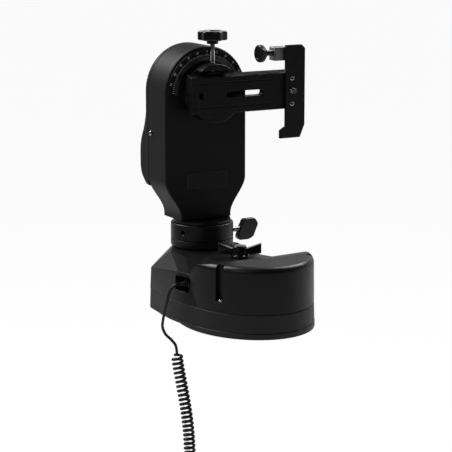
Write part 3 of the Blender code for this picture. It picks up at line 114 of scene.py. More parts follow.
def addStudio():
    look = studioLook
    world = bpy.data.worlds.new("studio")
    bpy.context.scene.world = world
    world.use_nodes = True
    tree = world.node_tree
    back = tree.nodes["Background"]
    rays = addNode(tree, "ShaderNodeLightPath")
    towards = addNode(tree, "ShaderNodeTexCoord").outputs["Generated"]
    facing = addNode(tree, "ShaderNodeVectorMath", {"operation": "DOT_PRODUCT", 1: look["backdrop"]},
                     {0: towards})
    share = addNode(tree, "ShaderNodeMapRange", {"From Min": -0.1, "From Max": 1.0, "To Min": look["dark"],
                                                 "To Max": look["bright"],
                                                 "interpolation_type": "SMOOTHSTEP"},
                    {"Value": facing.outputs["Value"]})
    height = addNode(tree, "ShaderNodeSeparateXYZ", {}, {0: towards}).outputs[2]
    high, low = look["backdropTop"]
    under = addNode(tree, "ShaderNodeMapRange", {"From Min": high, "From Max": low, "To Min": look["dark"],
                                                 "To Max": 1.0, "interpolation_type": "SMOOTHSTEP"},
                    {"Value": height})
    shown = addNode(tree, "ShaderNodeMath", {"operation": "MULTIPLY"},
                    {0: share.outputs[0], 1: under.outputs[0]})
    shiny = addNode(tree, "ShaderNodeMath", {"operation": "MAXIMUM"},
                    {0: rays.outputs["Is Glossy Ray"], 1: rays.outputs["Is Transmission Ray"]})
    level = addNode(tree, "ShaderNodeMix", {2: look["fill"]}, {0: shiny.outputs[0], 3: shown.outputs[0]})
    seen = addNode(tree, "ShaderNodeMix", {3: look["white"]},
                   {0: rays.outputs["Is Camera Ray"], 2: level.outputs[0]})
    tree.links.new(seen.outputs[0], back.inputs["Color"])

    material = bpy.data.materials.new("paleFloor")
    material.use_nodes = True
    tree = material.node_tree
    shader = tree.nodes["Principled BSDF"]
    shader.inputs["Base Color"].default_value = linear(look["floorPaint"])
    shader.inputs["Roughness"].default_value = 0.9
    shader.inputs["Specular IOR Level"].default_value = 0.1
    rays = addNode(tree, "ShaderNodeLightPath")
    shiny = addNode(tree, "ShaderNodeMath", {"operation": "MAXIMUM"},
                    {0: rays.outputs["Is Glossy Ray"], 1: rays.outputs["Is Transmission Ray"]})
    spot = addNode(tree, "ShaderNodeTexCoord").outputs["Object"]
    behind = addNode(tree, "ShaderNodeVectorMath", {"operation": "DOT_PRODUCT", 1: (-0.64, 0.77, 0)},
                     {0: spot})
    low, high = look["floorBack"]
    share = addNode(tree, "ShaderNodeMapRange", {"From Min": low, "From Max": high, "To Min": look["dark"],
                                                 "To Max": look["floorBright"],
                                                 "interpolation_type": "SMOOTHSTEP"},
                    {"Value": behind.outputs["Value"]})
    away = addNode(tree, "ShaderNodeVectorMath", {"operation": "LENGTH"}, {0: spot})
    edge, middle, strength = look["pool"]
    pool = addNode(tree, "ShaderNodeMapRange",
                   {"From Min": edge, "From Max": middle, "To Min": 0.0, "To Max": strength,
                    "interpolation_type": "SMOOTHSTEP"},
                   {"Value": away.outputs["Value"]})
    both = addNode(tree, "ShaderNodeMath", {"operation": "ADD"}, {0: share.outputs[0], 1: pool.outputs[0]})
    level = addNode(tree, "ShaderNodeMix", {3: 1.0}, {0: rays.outputs["Is Camera Ray"], 2: both.outputs[0]})
    lift = addNode(tree, "ShaderNodeEmission", {"Color": (1, 1, 1, 1)}, {"Strength": level.outputs[0]})
    either = addNode(tree, "ShaderNodeMath", {"operation": "MAXIMUM"},
                     {0: rays.outputs["Is Camera Ray"], 1: shiny.outputs[0]})
    amount = addNode(tree, "ShaderNodeMath", {"operation": "MULTIPLY", 1: look["floorLift"]},
                     {0: either.outputs[0]})
    mix = addNode(tree, "ShaderNodeMixShader", {},
                  {0: amount.outputs[0], 1: shader.outputs[0], 2: lift.outputs[0]})
    tree.links.new(mix.outputs[0], tree.nodes["Material Output"].inputs["Surface"])
    mesh = bpy.data.meshes.new("floor")
    half = look["floorSize"] / 2
    height = look["floorHeight"]
    mesh.from_pydata([(-half, -half, height), (half, -half, height), (half, half, height),
                      (-half, half, height)],
                     [], [(0, 1, 2, 3)])
    mesh.materials.append(material)
    floor = bpy.data.objects.new("floor", mesh)
    bpy.context.scene.collection.objects.link(floor)


lamps = {
    "leftSoftbox": {"spot": (-0.86, -0.6, 1.28), "aim": (0, 0, 0.08), "size": 1.0, "power": 21},
    "rightSoftbox": {"spot": (-0.47, 1.01, 1.25), "aim": (0, 0, 0.08), "size": 0.9, "power": 13},
    "keySoftbox": {"spot": (0.9, -1.9, 1.3), "aim": (-0.05, 0, 0.15), "size": 0.4, "power": 2},
}


def addLamps():
    for name, look in lamps.items():
        data = bpy.data.lights.new(name, "AREA")
        data.shape = "SQUARE"
        data.size = look["size"]
        data.energy = look["power"]
        lamp = bpy.data.objects.new(name, data)
        bpy.context.scene.collection.objects.link(lamp)
        lamp.location = look["spot"]
        aim = Vector(look["aim"]) - Vector(look["spot"])
        lamp.rotation_euler = aim.to_track_quat("-Z", "Y").to_euler()


addCamera()
addStudio()
addLamps()
bpy.context.scene.view_settings.view_transform = "Standard"
print("camera, studio and lamps set")


# Finishes

finishLooks = {
    # satin powder coat on die-cast aluminium: near black, a soft wide sheen, worn grey on its edges
    "satinPowderCoat": {
        "base": "#0f0f10", "tint": "#161617", "patchMm": 35, "rough": (0.3, 0.38), "roughMm": 9,
        "grainMm": 0.9, "grainDepthMm": 0.02, "edge": "#4a4a4d", "edgeMm": 0.7, "edgeShare": 0.5,
        "shader": {"IOR": 1.5, "Specular IOR Level": 0.45},
    },
    # the arm's cast shell has the same coat, but flatter and darker
    "armPowderCoat": {
        "base": "#0a0a0b", "tint": "#121213", "patchMm": 50, "rough": (0.42, 0.5), "roughMm": 14,
        "grainMm": 0.9, "grainDepthMm": 0.02, "edge": "#47474a", "edgeMm": 0.8, "edgeShare": 0.45,
        "shader": {"IOR": 1.5, "Specular IOR Level": 0.35},
    },
    # the base's lower castings: the same coat, shot-blasted first, so greyer and flatter
    "blastedPowderCoat": {
        "base": "#1b1b1c", "tint": "#242425", "patchMm": 30, "rough": (0.4, 0.5), "roughMm": 7,
        "grainMm": 0.7, "grainDepthMm": 0.03, "edge": "#56565a", "edgeMm": 0.8, "edgeShare": 0.55,
        "shader": {"IOR": 1.5, "Specular IOR Level": 0.45},
    },
    # glass-filled nylon, moulded: dull black with a fine spark-eroded texture
    "mouldedNylon": {
        "base": "#121212", "tint": "#1c1c1d", "patchMm": 12, "rough": (0.38, 0.5), "roughMm": 4,
        "grainMm": 0.6, "grainDepthMm": 0.03, "edge": "#3f3f42", "edgeMm": 0.5, "edgeShare": 0.4,
        "shader": {"IOR": 1.5},
    },
    # polished phenolic of the clamp knobs: wet-looking black with small sharp highlights
    "polishedPhenolic": {
        "base": "#0a0a0a", "tint": "#131314", "patchMm": 10, "rough": (0.12, 0.22), "roughMm": 5,
        "grainMm": 1.6, "grainDepthMm": 0.006, "edge": "#2c2c2e", "edgeMm": 0.4, "edgeShare": 0.3,
        "shader": {"IOR": 1.6, "Coat Weight": 0.3, "Coat Roughness": 0.08},
    },
    # black anodised aluminium, machined: a metallic dark sheen with faint tool marks
    "blackAnodised": {
        "base": "#161617", "tint": "#202022", "patchMm": 18, "rough": (0.26, 0.38), "roughMm": 5,
        "grainMm": 0.4, "grainDepthMm": 0.008, "edge": "#8a8a8e", "edgeMm": 0.4, "edgeShare": 0.35,
        "shader": {"Metallic": 0.35},
    },
    # machined aluminium left bare: pale grey, milled smooth
    "bareAluminium": {
        "base": "#b9babc", "tint": "#cbccce", "patchMm": 9, "rough": (0.28, 0.42), "roughMm": 3,
        "grainMm": 0.35, "grainDepthMm": 0.01, "edge": "#e2e3e4", "edgeMm": 0.4, "edgeShare": 0.5,
        "shader": {"Metallic": 1.0},
    },
    # soft rubber of feet and boots: matt, greyish black, dusty where it bends
    "softRubber": {
        "base": "#101010", "tint": "#1d1d1c", "patchMm": 6, "rough": (0.62, 0.78), "roughMm": 2.5,
        "grainMm": 0.5, "grainDepthMm": 0.03, "edge": "#2e2e2d", "edgeMm": 0.4, "edgeShare": 0.3,
        "shader": {"IOR": 1.5},
    },
    # polyurethane jacket of the curly cord: smooth, half gloss, light catches each turn
    "cordJacket": {
        "base": "#0d0d0d", "tint": "#171717", "patchMm": 14, "rough": (0.26, 0.36), "roughMm": 5,
        "grainMm": 1.2, "grainDepthMm": 0.012, "edge": "#262626", "edgeMm": 0.3, "edgeShare": 0.1,
        "shader": {"IOR": 1.5},
    },
    # brass of the gears: warm, hobbed, lightly oiled
    "hobbedBrass": {
        "base": "#b08a45", "tint": "#c9a25a", "patchMm": 7, "rough": (0.25, 0.4), "roughMm": 2,
        "grainMm": 0.4, "grainDepthMm": 0.01, "edge": "#e0c078", "edgeMm": 0.3, "edgeShare": 0.5,
        "shader": {"Metallic": 1.0},
    },
    # zinc plate of the motor cans and brackets: cool grey with pale blooms
    "zincPlate": {
        "base": "#8d9093", "tint": "#a9adb0", "patchMm": 5, "rough": (0.32, 0.5), "roughMm": 2,
        "grainMm": 0.5, "grainDepthMm": 0.01, "edge": "#c8cbcd", "edgeMm": 0.3, "edgeShare": 0.4,
        "shader": {"Metallic": 1.0},
    },
    # solder mask on the circuit board: green, glossy over the copper
    "solderMask": {
        "base": "#0d4a2a", "tint": "#136138", "patchMm": 3, "rough": (0.25, 0.4), "roughMm": 3,
        "grainMm": 1.5, "grainDepthMm": 0.03, "edge": "#8b9a68", "edgeMm": 0.2, "edgeShare": 0.2,
        "shader": {"IOR": 1.5},
    },
    # white ink of the dial's marks: flat and slightly chalky
    "dialInk": {
        "base": "#d5d5d2", "tint": "#c2c2bf", "patchMm": 2, "rough": (0.45, 0.6), "roughMm": 1,
        "grainMm": 0.3, "grainDepthMm": 0.005, "edge": "#b5b5b2", "edgeMm": 0.1, "edgeShare": 0.1,
        "shader": {"IOR": 1.45},
    },
}

turnedLooks = {
    # turned steel, bright: rings of tool marks round its axis
    "turnedSteel": {"base": "#b9b9b7", "tint": "#9d9d9c", "ringMm": 0.5, "rough": (0.16, 0.3),
                    "depthMm": 0.006},
    # hard chrome on the small screws: nearly a mirror, with soft streaks
    "hardChrome": {"base": "#dcdcdc", "tint": "#c6c6c8", "ringMm": 0.8, "rough": (0.06, 0.14),
                   "depthMm": 0.003},
    # turned aluminium of the turntable: silver with a wide lathe spiral
    "turnedAluminium": {"base": "#b4b5b7", "tint": "#c9cacc", "ringMm": 0.9, "rough": (0.24, 0.36),
                        "depthMm": 0.01},
    # black anodised and turned: a dark sheen that breaks into fine rings
    "turnedAnodised": {"base": "#131314", "tint": "#1e1e20", "ringMm": 0.7, "rough": (0.24, 0.36),
                       "depthMm": 0.006, "metallic": 0.35},
    # the dial's inner stripe: brushed silver, a little grey
    "brushedStripe": {"base": "#8f8f93", "tint": "#6f6f74", "ringMm": 0.6, "rough": (0.3, 0.42),
                      "depthMm": 0.006},
}


def roughen(tree, shader, noise, span):
    roughness = addNode(tree, "ShaderNodeMapRange",
                        {"From Min": 0.3, "From Max": 0.7, "To Min": span[0], "To Max": span[1]},
                        {"Value": noise}).outputs[0]
    tree.links.new(roughness, shader.inputs["Roughness"])


def grained(name, look):
    material = bpy.data.materials.new(name)
    material.use_nodes = True
    tree = material.node_tree
    shader = tree.nodes["Principled BSDF"]
    for socket, value in look["shader"].items():
        shader.inputs[socket].default_value = value
    spot = addNode(tree, "ShaderNodeTexCoord").outputs["Object"]
    patches = addNode(tree, "ShaderNodeTexNoise", {"Scale": 1 / (look["patchMm"] * mm), "Detail": 3.0},
                      {"Vector": spot}).outputs[0]
    colour = addNode(tree, "ShaderNodeMix",
                     {"data_type": "RGBA", 6: linear(look["base"]), 7: linear(look["tint"])},
                     {0: patches}).outputs[2]
    rounded = addNode(tree, "ShaderNodeBevel", {"samples": 4, "Radius": look["edgeMm"] * mm}).outputs[0]
    straight = addNode(tree, "ShaderNodeNewGeometry").outputs["Normal"]
    likeness = addNode(tree, "ShaderNodeVectorMath", {"operation": "DOT_PRODUCT"},
                       {0: rounded, 1: straight})
    edges = addNode(tree, "ShaderNodeMapRange", {"From Min": 0.99, "From Max": 0.86, "To Min": 0.0,
                                                 "To Max": look["edgeShare"]},
                    {"Value": likeness.outputs["Value"]})
    rubbed = addNode(tree, "ShaderNodeTexNoise", {"Scale": 1 / (7 * mm), "Detail": 5.0},
                     {"Vector": spot}).outputs[0]
    worn = addNode(tree, "ShaderNodeMath", {"operation": "MULTIPLY", "use_clamp": True},
                   {0: edges.outputs[0], 1: rubbed}).outputs[0]
    colour = addNode(tree, "ShaderNodeMix", {"data_type": "RGBA", 7: linear(look["edge"])},
                     {0: worn, 6: colour}).outputs[2]
    tree.links.new(colour, shader.inputs["Base Color"])
    blotches = addNode(tree, "ShaderNodeTexNoise", {"Scale": 1 / (look["roughMm"] * mm), "Detail": 4.0},
                       {"Vector": spot}).outputs[0]
    roughen(tree, shader, blotches, look["rough"])
    grain = addNode(tree, "ShaderNodeTexNoise", {"Scale": 1 / (look["grainMm"] * mm), "Detail": 2.0},
                    {"Vector": spot}).outputs[0]
    bump = addNode(tree, "ShaderNodeBump", {"Strength": 0.6, "Distance": look["grainDepthMm"] * mm},
                   {"Height": grain, "Normal": rounded}).outputs[0]
    tree.links.new(bump, shader.inputs["Normal"])
    return material


def turnedFinish(name, look, axis, centre):
    material = bpy.data.materials.new(name)
    material.use_nodes = True
    tree = material.node_tree
    shader = tree.nodes["Principled BSDF"]
    shader.inputs["Metallic"].default_value = look.get("metallic", 1.0)
    spot = addNode(tree, "ShaderNodeTexCoord").outputs["Object"]
    shifted = addNode(tree, "ShaderNodeVectorMath", {"operation": "SUBTRACT", 1: centre},
                      {0: spot}).outputs[0]
    # the wave node turns by 20 radians a metre: a ring comes out some six times coarser than the real
    # tool marks, which would be too fine to show
    rings = addNode(tree, "ShaderNodeTexWave",
                    {"wave_type": "RINGS", "rings_direction": axis, "Distortion": 1.2,
                     "Scale": 1 / (look["ringMm"] * mm) / 20, "Detail": 3.0},
                    {"Vector": shifted}).outputs[1]
    haze = addNode(tree, "ShaderNodeTexNoise", {"Scale": 1 / (3 * mm), "Detail": 4.0},
                   {"Vector": spot}).outputs[0]
    colour = addNode(tree, "ShaderNodeMix",
                     {"data_type": "RGBA", 6: linear(look["base"]), 7: linear(look["tint"])},
                     {0: haze}).outputs[2]
    tree.links.new(colour, shader.inputs["Base Color"])
    roughen(tree, shader, haze, look["rough"])
    bump = addNode(tree, "ShaderNodeBump", {"Strength": 0.5, "Distance": look["depthMm"] * mm},
                   {"Height": rings}).outputs[0]
    tree.links.new(bump, shader.inputs["Normal"])
    return material


finishes = {name: grained(name, look) for name, look in finishLooks.items()}
madeTurned = {}


def finishOf(name, axis="Z", centre=(0, 0, 0)):
    if name in finishes:
        return finishes[name]
    key = (name, axis, tuple(round(value, 4) for value in centre))
    if key not in madeTurned:
        madeTurned[key] = turnedFinish(name + axis + str(len(madeTurned)), turnedLooks[name], axis, centre)
    return madeTurned[key]


print("finishes made:", len(finishes))


# Shapes

turnTo = {
    "X": Matrix(((0, 0, 1), (1, 0, 0), (0, 1, 0))),
    "Y": Matrix(((0, 1, 0), (0, 0, 1), (1, 0, 0))),
    "Z": Matrix.Identity(3),
}


def toSolid(shape):
    bmesh.ops.recalc_face_normals(shape, faces=shape.faces)
    mesh = bpy.data.meshes.new("solid")
    shape.to_mesh(mesh)
    shape.free()
    solid = bpy.data.objects.new("solid", mesh)
    bpy.context.scene.collection.objects.link(solid)
    return solid


def roundedPath(points, radius, steps=3, closed=False):
    # each corner gives way to a short curve that cuts it by the radius
    count = len(points)
    path = []
    for index, point in enumerate(points):
        if not closed and index in (0, count - 1):
            path.append(point)
            continue
        here = Vector(point)
        before = Vector(points[index - 1]) - here
        after = Vector(points[(index + 1) % count]) - here
        cut = min(radius, before.length * 0.45, after.length * 0.45)
        start = here + before.normalized() * cut
        end = here + after.normalized() * cut
        for step in range(steps + 1):
            share = step / steps
            path.append(tuple(start.lerp(here, share).lerp(here.lerp(end, share), share)))
    return path


def turned(profile, axis="Z", centre=(0, 0, 0), steps=64, closed=False):
    shape = bmesh.new()
    rings = []
    for radius, height in profile:
        count = 1 if radius < 1e-7 else steps
        ring = []
        for step in range(count):
            angle = math.tau * step / steps
            point = Vector((radius * math.cos(angle), radius * math.sin(angle), height))
            ring.append(shape.verts.new(turnTo[axis] @ point + Vector(centre)))
        rings.append(ring)
    pairs = list(zip(rings, rings[1:]))
    if closed:
        pairs.append((rings[-1], rings[0]))
    for first, second in pairs:
        for step in range(steps):
            following = (step + 1) % steps
            corners = [first[step % len(first)], first[following % len(first)],
                       second[following % len(second)], second[step % len(second)]]
            shape.faces.new(list(dict.fromkeys(corners)))
    return toSolid(shape)


def loft(rings):
    shape = bmesh.new()
    loops = [[shape.verts.new(Vector(point)) for point in loop] for loop in rings]
    for first, second in zip(loops, loops[1:]):
        for step in range(len(first)):
            following = (step + 1) % len(first)
            shape.faces.new((first[step], first[following], second[following], second[step]))
    shape.faces.new(list(reversed(loops[0])))
    shape.faces.new(loops[-1])
    return toSolid(shape)


def slab(outline, low, high, axis="Z", centre=(0, 0, 0)):
    return loft([[turnTo[axis] @ Vector((a, b, level)) + Vector(centre) for a, b in outline]
                 for level in (low, high)])


def box(low, high):
    return slab([(low[0], low[1]), (high[0], low[1]), (high[0], high[1]), (low[0], high[1])], low[2],
                high[2])


def rod(radius, low, high, axis="Z", centre=(0, 0, 0), steps=40):
    return turned([(0, low), (radius, low), (radius, high), (0, high)], axis, centre, steps)


def hull(points):
    shape = bmesh.new()
    for point in points:
        shape.verts.new(Vector(point))
    made = bmesh.ops.convex_hull(shape, input=shape.verts)
    spare = [item for item in made["geom_interior"] + made["geom_unused"]
             if isinstance(item, bmesh.types.BMVert)]
    bmesh.ops.delete(shape, geom=list(set(spare)), context="VERTS")
    bmesh.ops.dissolve_limit(shape, angle_limit=math.radians(0.5), verts=shape.verts, edges=shape.edges)
    return toSolid(shape)


def hexSocket(reach, low, high, axis="Z", centre=(0, 0, 0)):
    corners = [(reach * math.cos(math.tau * step / 6), reach * math.sin(math.tau * step / 6))
               for step in range(6)]
    return slab(corners, low, high, axis, centre)


def applied(solid):
    bpy.context.view_layer.update()
    graph = bpy.context.evaluated_depsgraph_get()
    solid.data = bpy.data.meshes.new_from_object(solid.evaluated_get(graph))
    solid.modifiers.clear()
    return solid


def combine(base, others, operation):
    for other in others:
        change = base.modifiers.new("combine", "BOOLEAN")
        change.operation = operation
        change.object = other
        change.solver = "EXACT"
    applied(base)
    for other in others:
        bpy.data.objects.remove(other, do_unlink=True)
    return base


def joined(base, *others):
    return combine(base, others, "UNION")


def cut(base, *others):
    return combine(base, others, "DIFFERENCE")


def eased(solid, width, steps=2, angle=32):
    # rounds the edges sharper than the angle
    shape = bmesh.new()
    shape.from_mesh(solid.data)
    bmesh.ops.remove_doubles(shape, verts=shape.verts, dist=0.01 * mm)
    bmesh.ops.dissolve_limit(shape, angle_limit=math.radians(0.4), verts=shape.verts, edges=shape.edges)
    shape.to_mesh(solid.data)
    shape.free()
    bevel = solid.modifiers.new("bevel", "BEVEL")
    bevel.width = width
    bevel.segments = steps
    bevel.limit_method = "ANGLE"
    bevel.angle_limit = math.radians(angle)
    bevel.use_clamp_overlap = True
    return applied(solid)


def addPiece(solid, name, finish, body, stands=(), sharp=38):
    solid.name = name
    solid.data.name = name
    solid.data.materials.clear()
    solid.data.materials.append(finish)
    solid.data.shade_smooth()
    solid.data.set_sharp_from_angle(angle=math.radians(sharp))
    even = solid.modifiers.new("even", "WEIGHTED_NORMAL")
    even.keep_sharp = True
    applied(solid)
    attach(solid, body)
    if stands:
        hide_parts(*stands)
    return solid


# Cord: a straight lead that hangs from the port in a loop, then a curly cord down to its far plug

cordLook = {
    "diameter": 3 * mm,
    "curlOuter": 13 * mm,
    "curlPitch": 4.8 * mm,
    "curls": 42,
    "curlPoints": 8,  # the solid's points in a turn
    "finer": 3,  # points drawn for each of these
    "sides": 12,
    "lead": ((3, -73.3, 47.5), (2.8, -78, 47.2), (1.5, -82, 44.5), (-0.5, -84.5, 38), (-2.5, -86.2, 29),
             (-5, -87.5, 19), (-8, -88, 9), (-10.5, -87.5, 0), (-9.5, -84.5, -8), (-5.5, -80, -13.5),
             (-2.5, -76.5, -19), (-2.5, -75, -25)),
    "coil": ((-2.5, -75, -25.3), (-1.5, -74, -40), (2, -71, -65), (5, -68, -90), (7, -66, -115),
             (8, -65, -150), (8, -65, -190), (8, -65, -236)),
}


def smoothStep(value):
    value = min(max(value, 0), 1)
    return value * value * (3 - 2 * value)


def smoothPoint(points, position):
    index = min(int(position), len(points) - 2)
    share = position - index
    before = points[max(index - 1, 0)]
    after = points[min(index + 2, len(points) - 1)]
    first, second = points[index], points[index + 1]
    square = 2 * before - 5 * first + 4 * second - after
    cube = 3 * first - before - 3 * second + after
    return 0.5 * (2 * first + (second - before) * share + square * share ** 2 + cube * share ** 3)


def smoothPath(route, spacing):
    points = [Vector(point) * mm for point in route]
    fine = [smoothPoint(points, step / 40) for step in range(40 * (len(points) - 1) + 1)]
    lengths = [0.0]
    for first, second in zip(fine, fine[1:]):
        lengths.append(lengths[-1] + (second - first).length)
    count = max(round(lengths[-1] / spacing), 2)
    path = []
    place = 0
    for step in range(count + 1):
        target = lengths[-1] * step / count
        while place < len(fine) - 2 and lengths[place + 1] < target:
            place += 1
        share = (target - lengths[place]) / (lengths[place + 1] - lengths[place])
        path.append(fine[place].lerp(fine[place + 1], min(max(share, 0), 1)))
    return path


def coilPath():
    look = cordLook
    middle = smoothPath(look["coil"], look["curlPitch"] / 40)
    radius = (look["curlOuter"] - look["diameter"]) / 2
    straight = look["diameter"]
    down = (middle[1] - middle[0]).normalized()
    last = (middle[-1] - middle[-2]).normalized()
    side = down.cross(Vector((0, 1, 0))).normalized()
    points = [middle[0], middle[0] + down * straight]
    perTurn = look["curlPoints"] * look["finer"]
    total = look["curls"] * perTurn
    for step in range(1, total):
        share = step / total
        spot = share * (len(middle) - 1)
        index = min(int(spot), len(middle) - 2)
        centre = middle[index].lerp(middle[index + 1], spot - index)
        tangent = (middle[index + 1] - middle[index]).normalized()
        side = (side - tangent * side.dot(tangent)).normalized()
        other = tangent.cross(side)
        grow = smoothStep(step / perTurn / 0.8) * smoothStep((total - step) / perTurn / 0.8)
        angle = math.tau * step / perTurn
        centre = centre + tangent * straight * (1 - 2 * share)
        points.append(centre + (side * math.cos(angle) + other * math.sin(angle)) * radius * grow)
    return points + [middle[-1] - last * straight, middle[-1]]


def tube(path, radius, sides):
    shape = bmesh.new()
    rings = []
    side = Vector((1, 0, 0))
    for index, point in enumerate(path):
        along = (path[min(index + 1, len(path) - 1)] - path[max(index - 1, 0)]).normalized()
        side = (side - along * side.dot(along)).normalized()
        other = along.cross(side)
        rings.append([shape.verts.new(point + (side * math.cos(math.tau * step / sides)
                                               + other * math.sin(math.tau * step / sides)) * radius)
                      for step in range(sides)])
    for first, second in zip(rings, rings[1:]):
        for step in range(sides):
            following = (step + 1) % sides
            shape.faces.new((first[step], first[following], second[following], second[step]))
    shape.faces.new(list(reversed(rings[0])))
    shape.faces.new(rings[-1])
    return toSolid(shape)


plugLook = {
    "spot": (3 * mm, 47.5 * mm),  # X and Z of the port
    "half": (5 * mm, 3 * mm),
    "span": (-50.5 * mm, -65.5 * mm),
    "boot": (-65.8 * mm, -73.0 * mm),
    "bootRadius": (2.8 * mm, 2.0 * mm),
    "farLength": 20 * mm,
    "farBoot": 9 * mm,
}


def ribbedBoot(high, low, wide, narrow, ribs, axis, centre):
    # a tapered boot with flexing ribs, from its wide end to its narrow end
    profile = [(0, high), (wide, high)]
    for rib in range(ribs):
        for share, waist in ((0.15, 0), (0.55, 0), (0.6, 0.35), (0.95, 0.35)):
            spot = (rib + share) / ribs
            profile.append((wide + (narrow - wide) * spot - waist * mm, high + (low - high) * spot))
    profile += [(narrow, low), (0, low)]
    return turned(roundedPath(profile, 0.15 * mm, 1), axis, centre, 32)


def plugSolid(low, high, axis, centre, half, latch):
    # modular plug with a rounded body and a latch on its flat side
    halfX, halfZ = half
    outline = roundedPath([(-halfX, -halfZ), (halfX, -halfZ), (halfX, halfZ), (-halfX, halfZ)], 0.7 * mm, 3,
                          True)
    body = slab(outline, low, high, axis, centre)
    tongue = [(-latch, halfZ - 0.8 * mm), (latch, halfZ - 0.8 * mm), (latch, halfZ), (-latch, halfZ)]
    groove = slab([(-latch - 0.5 * mm, halfZ - 0.8 * mm), (latch + 0.5 * mm, halfZ - 0.8 * mm),
                   (latch + 0.5 * mm, halfZ + mm), (-latch - 0.5 * mm, halfZ + mm)],
                  low + 3 * mm, high - 3 * mm, axis, centre)
    return joined(cut(body, groove), slab(tongue, low + 2 * mm, high - 4 * mm, axis, centre))


def buildCord():
    look = cordLook
    lead = smoothPath(look["lead"], 1.5 * mm)
    coil = coilPath()
    path = lead + coil[1:]
    cord = addPiece(tube(path, look["diameter"] / 2, look["sides"]), "curlyCordPiece",
                    finishOf("cordJacket"), "base", ("cord_lead", "curly_cord"), sharp=60)
    x, z = plugLook["spot"]
    halfX, halfZ = plugLook["half"]
    start, end = plugLook["span"]
    # the Y axis takes its outline as height and X
    plug = plugSolid(end, start, "Y", (x, 0, z), (halfZ, halfX), 1.2 * mm)
    addPiece(plug, "portPlug", finishOf("mouldedNylon"), "base", ("cord_plug",))
    high, low = plugLook["boot"]
    boot = ribbedBoot(high, low, *plugLook["bootRadius"], 3, "Y", (x, 0, z))
    addPiece(boot, "portPlugBoot", finishOf("softRubber"), "base", ("cord_plug_boot",))
    foot = path[-1]
    top = foot.z - gap
    low = top - plugLook["farBoot"]
    boot = ribbedBoot(low, top, 3.4 * mm, 2.3 * mm, 5, "Z", (foot.x, foot.y, 0))
    farBoot = addPiece(boot, "farPlugBoot", finishOf("softRubber"), "base", ("far_plug_boot",))
    high = low - gap
    plug = plugSolid(high - plugLook["farLength"], high, "Z", (foot.x, foot.y, 0), (halfX, halfZ), 1.6 * mm)
    farPlug = addPiece(plug, "farPlugBody", finishOf("mouldedNylon"), "base", ("far_plug",))


buildCord()
print("cord built")


# Base

baseLook = {
    "noseCentre": 12 * mm,
    "noseLength": 86 * mm,
    "halfWidth": 68.5 * mm,
    "nearSweep": ((34, 66.2), (3.7, 72.6), (-9.1, 76.1), (-40, 73.05)),
    "near": ((-10, 74.2), (-76, 69.5), (-116, 45), (-124, 20)),
    "far": ((-10, 65), (-74, 62), (-116, 43), (-124, 20)),
    "nearEaves": (52, 50, 44, 50),
    "farEaves": (48, 50, 44, 50),
    "traySeam": 7.5 * mm,
    "shellSeam": 27 * mm,
    "blockTop": 66 * mm,
    "ridge": ((-4, -72, 59.5), (14, -67, 59)),
    "flat": ((-36.5, -46), (-76.5, -44), (-108, -23), (-117, -8), (-117, 8), (-108, 23), (-76.5, 40),
             (-36.5, 24)),
    "deck": ((26, 69, 35, 64, 58), (-4, 68, 25, 62, 52), (-40, 66, 20, 50, 44)),
    # above the steep shoulders, then above the gentle slope from the deck to the drum's rim
    "shoulders": ((2, 28, 68), (11, 75, 57), (30, 12, 72), (28, 30, 72), (24, 58, 72), (24, 75, 72)),
    "slope": ((2, 75, 72), (24, 75, 72), (30, 12, 72), (50, 12, 76.5), (48, 75, 76.5)),
    "drumTop": 76.5 * mm,
    "fillet": 6.5 * mm,
    "seamEdge": 0.5 * mm,
    "draft": 0.5 * mm, "wall": 3.5 * mm, "sleeveHole": 8.5 * mm,
}


def nosePoint(angle, inset):
    look = baseLook
    return (look["noseCentre"] + (look["noseLength"] - inset) * math.cos(angle),
            (look["halfWidth"] - inset) * math.sin(angle))


def noseArc(inset, back, steps, nearBack=None):
    middle, length = baseLook["noseCentre"], baseLook["noseLength"] - inset
    last = math.acos((back - middle) / length)
    first = -last if nearBack is None else -math.acos((nearBack - middle) / length)
    return [nosePoint(first + (last - first) * step / steps, inset) for step in range(steps + 1)]


def blockSide(corners, inset, side):
    corners = [(x * mm, y * mm) for x, y in corners]
    wide = 1 + inset / corners[-1][0]
    deep = 1 - inset / corners[0][1]
    return [(x * wide, side * y * deep) for x, y in corners]


def sweepPoints(corners, steps=14):
    points = []
    for step in range(1, steps + 1):
        share = step / steps
        weights = ((1 - share) ** 3, 3 * share * (1 - share) ** 2, 3 * share ** 2 * (1 - share), share ** 3)
        points.append(tuple(sum(weight * corner[axis] for weight, corner in zip(weights, corners))
                            for axis in (0, 1)))
    return points


def basePlan(inset, steps=96, round=3 * mm):
    look = baseLook
    near = blockSide(sweepPoints(look["nearSweep"]) + list(look["near"][1:]), inset, -1)
    block = roundedPath(blockSide(look["far"], inset, 1) + list(reversed(near)), round, 3)
    nearBack = look["nearSweep"][0][0] * mm * (1 - inset / (124 * mm))
    return noseArc(inset, look["noseCentre"], steps, nearBack) + block


def levelRings(outlines):
    return [[(x, y, height) for x, y in outline] for outline, height in outlines]


trayLook = {
    "plate": 4.8 * mm, "flange": 1.2 * mm, "flangeBack": 52 * mm, "recess": (46.5 * mm, 5.4 * mm),
    "bore": 13 * mm, "edge": 0.4 * mm, "bumper": ((0, 0.2), (3.3, 0.2), (3.3, 3.2), (2.9, 4.5), (0, 4.5)),
    "bumperSpot": (-58 * mm, 62 * mm),
}


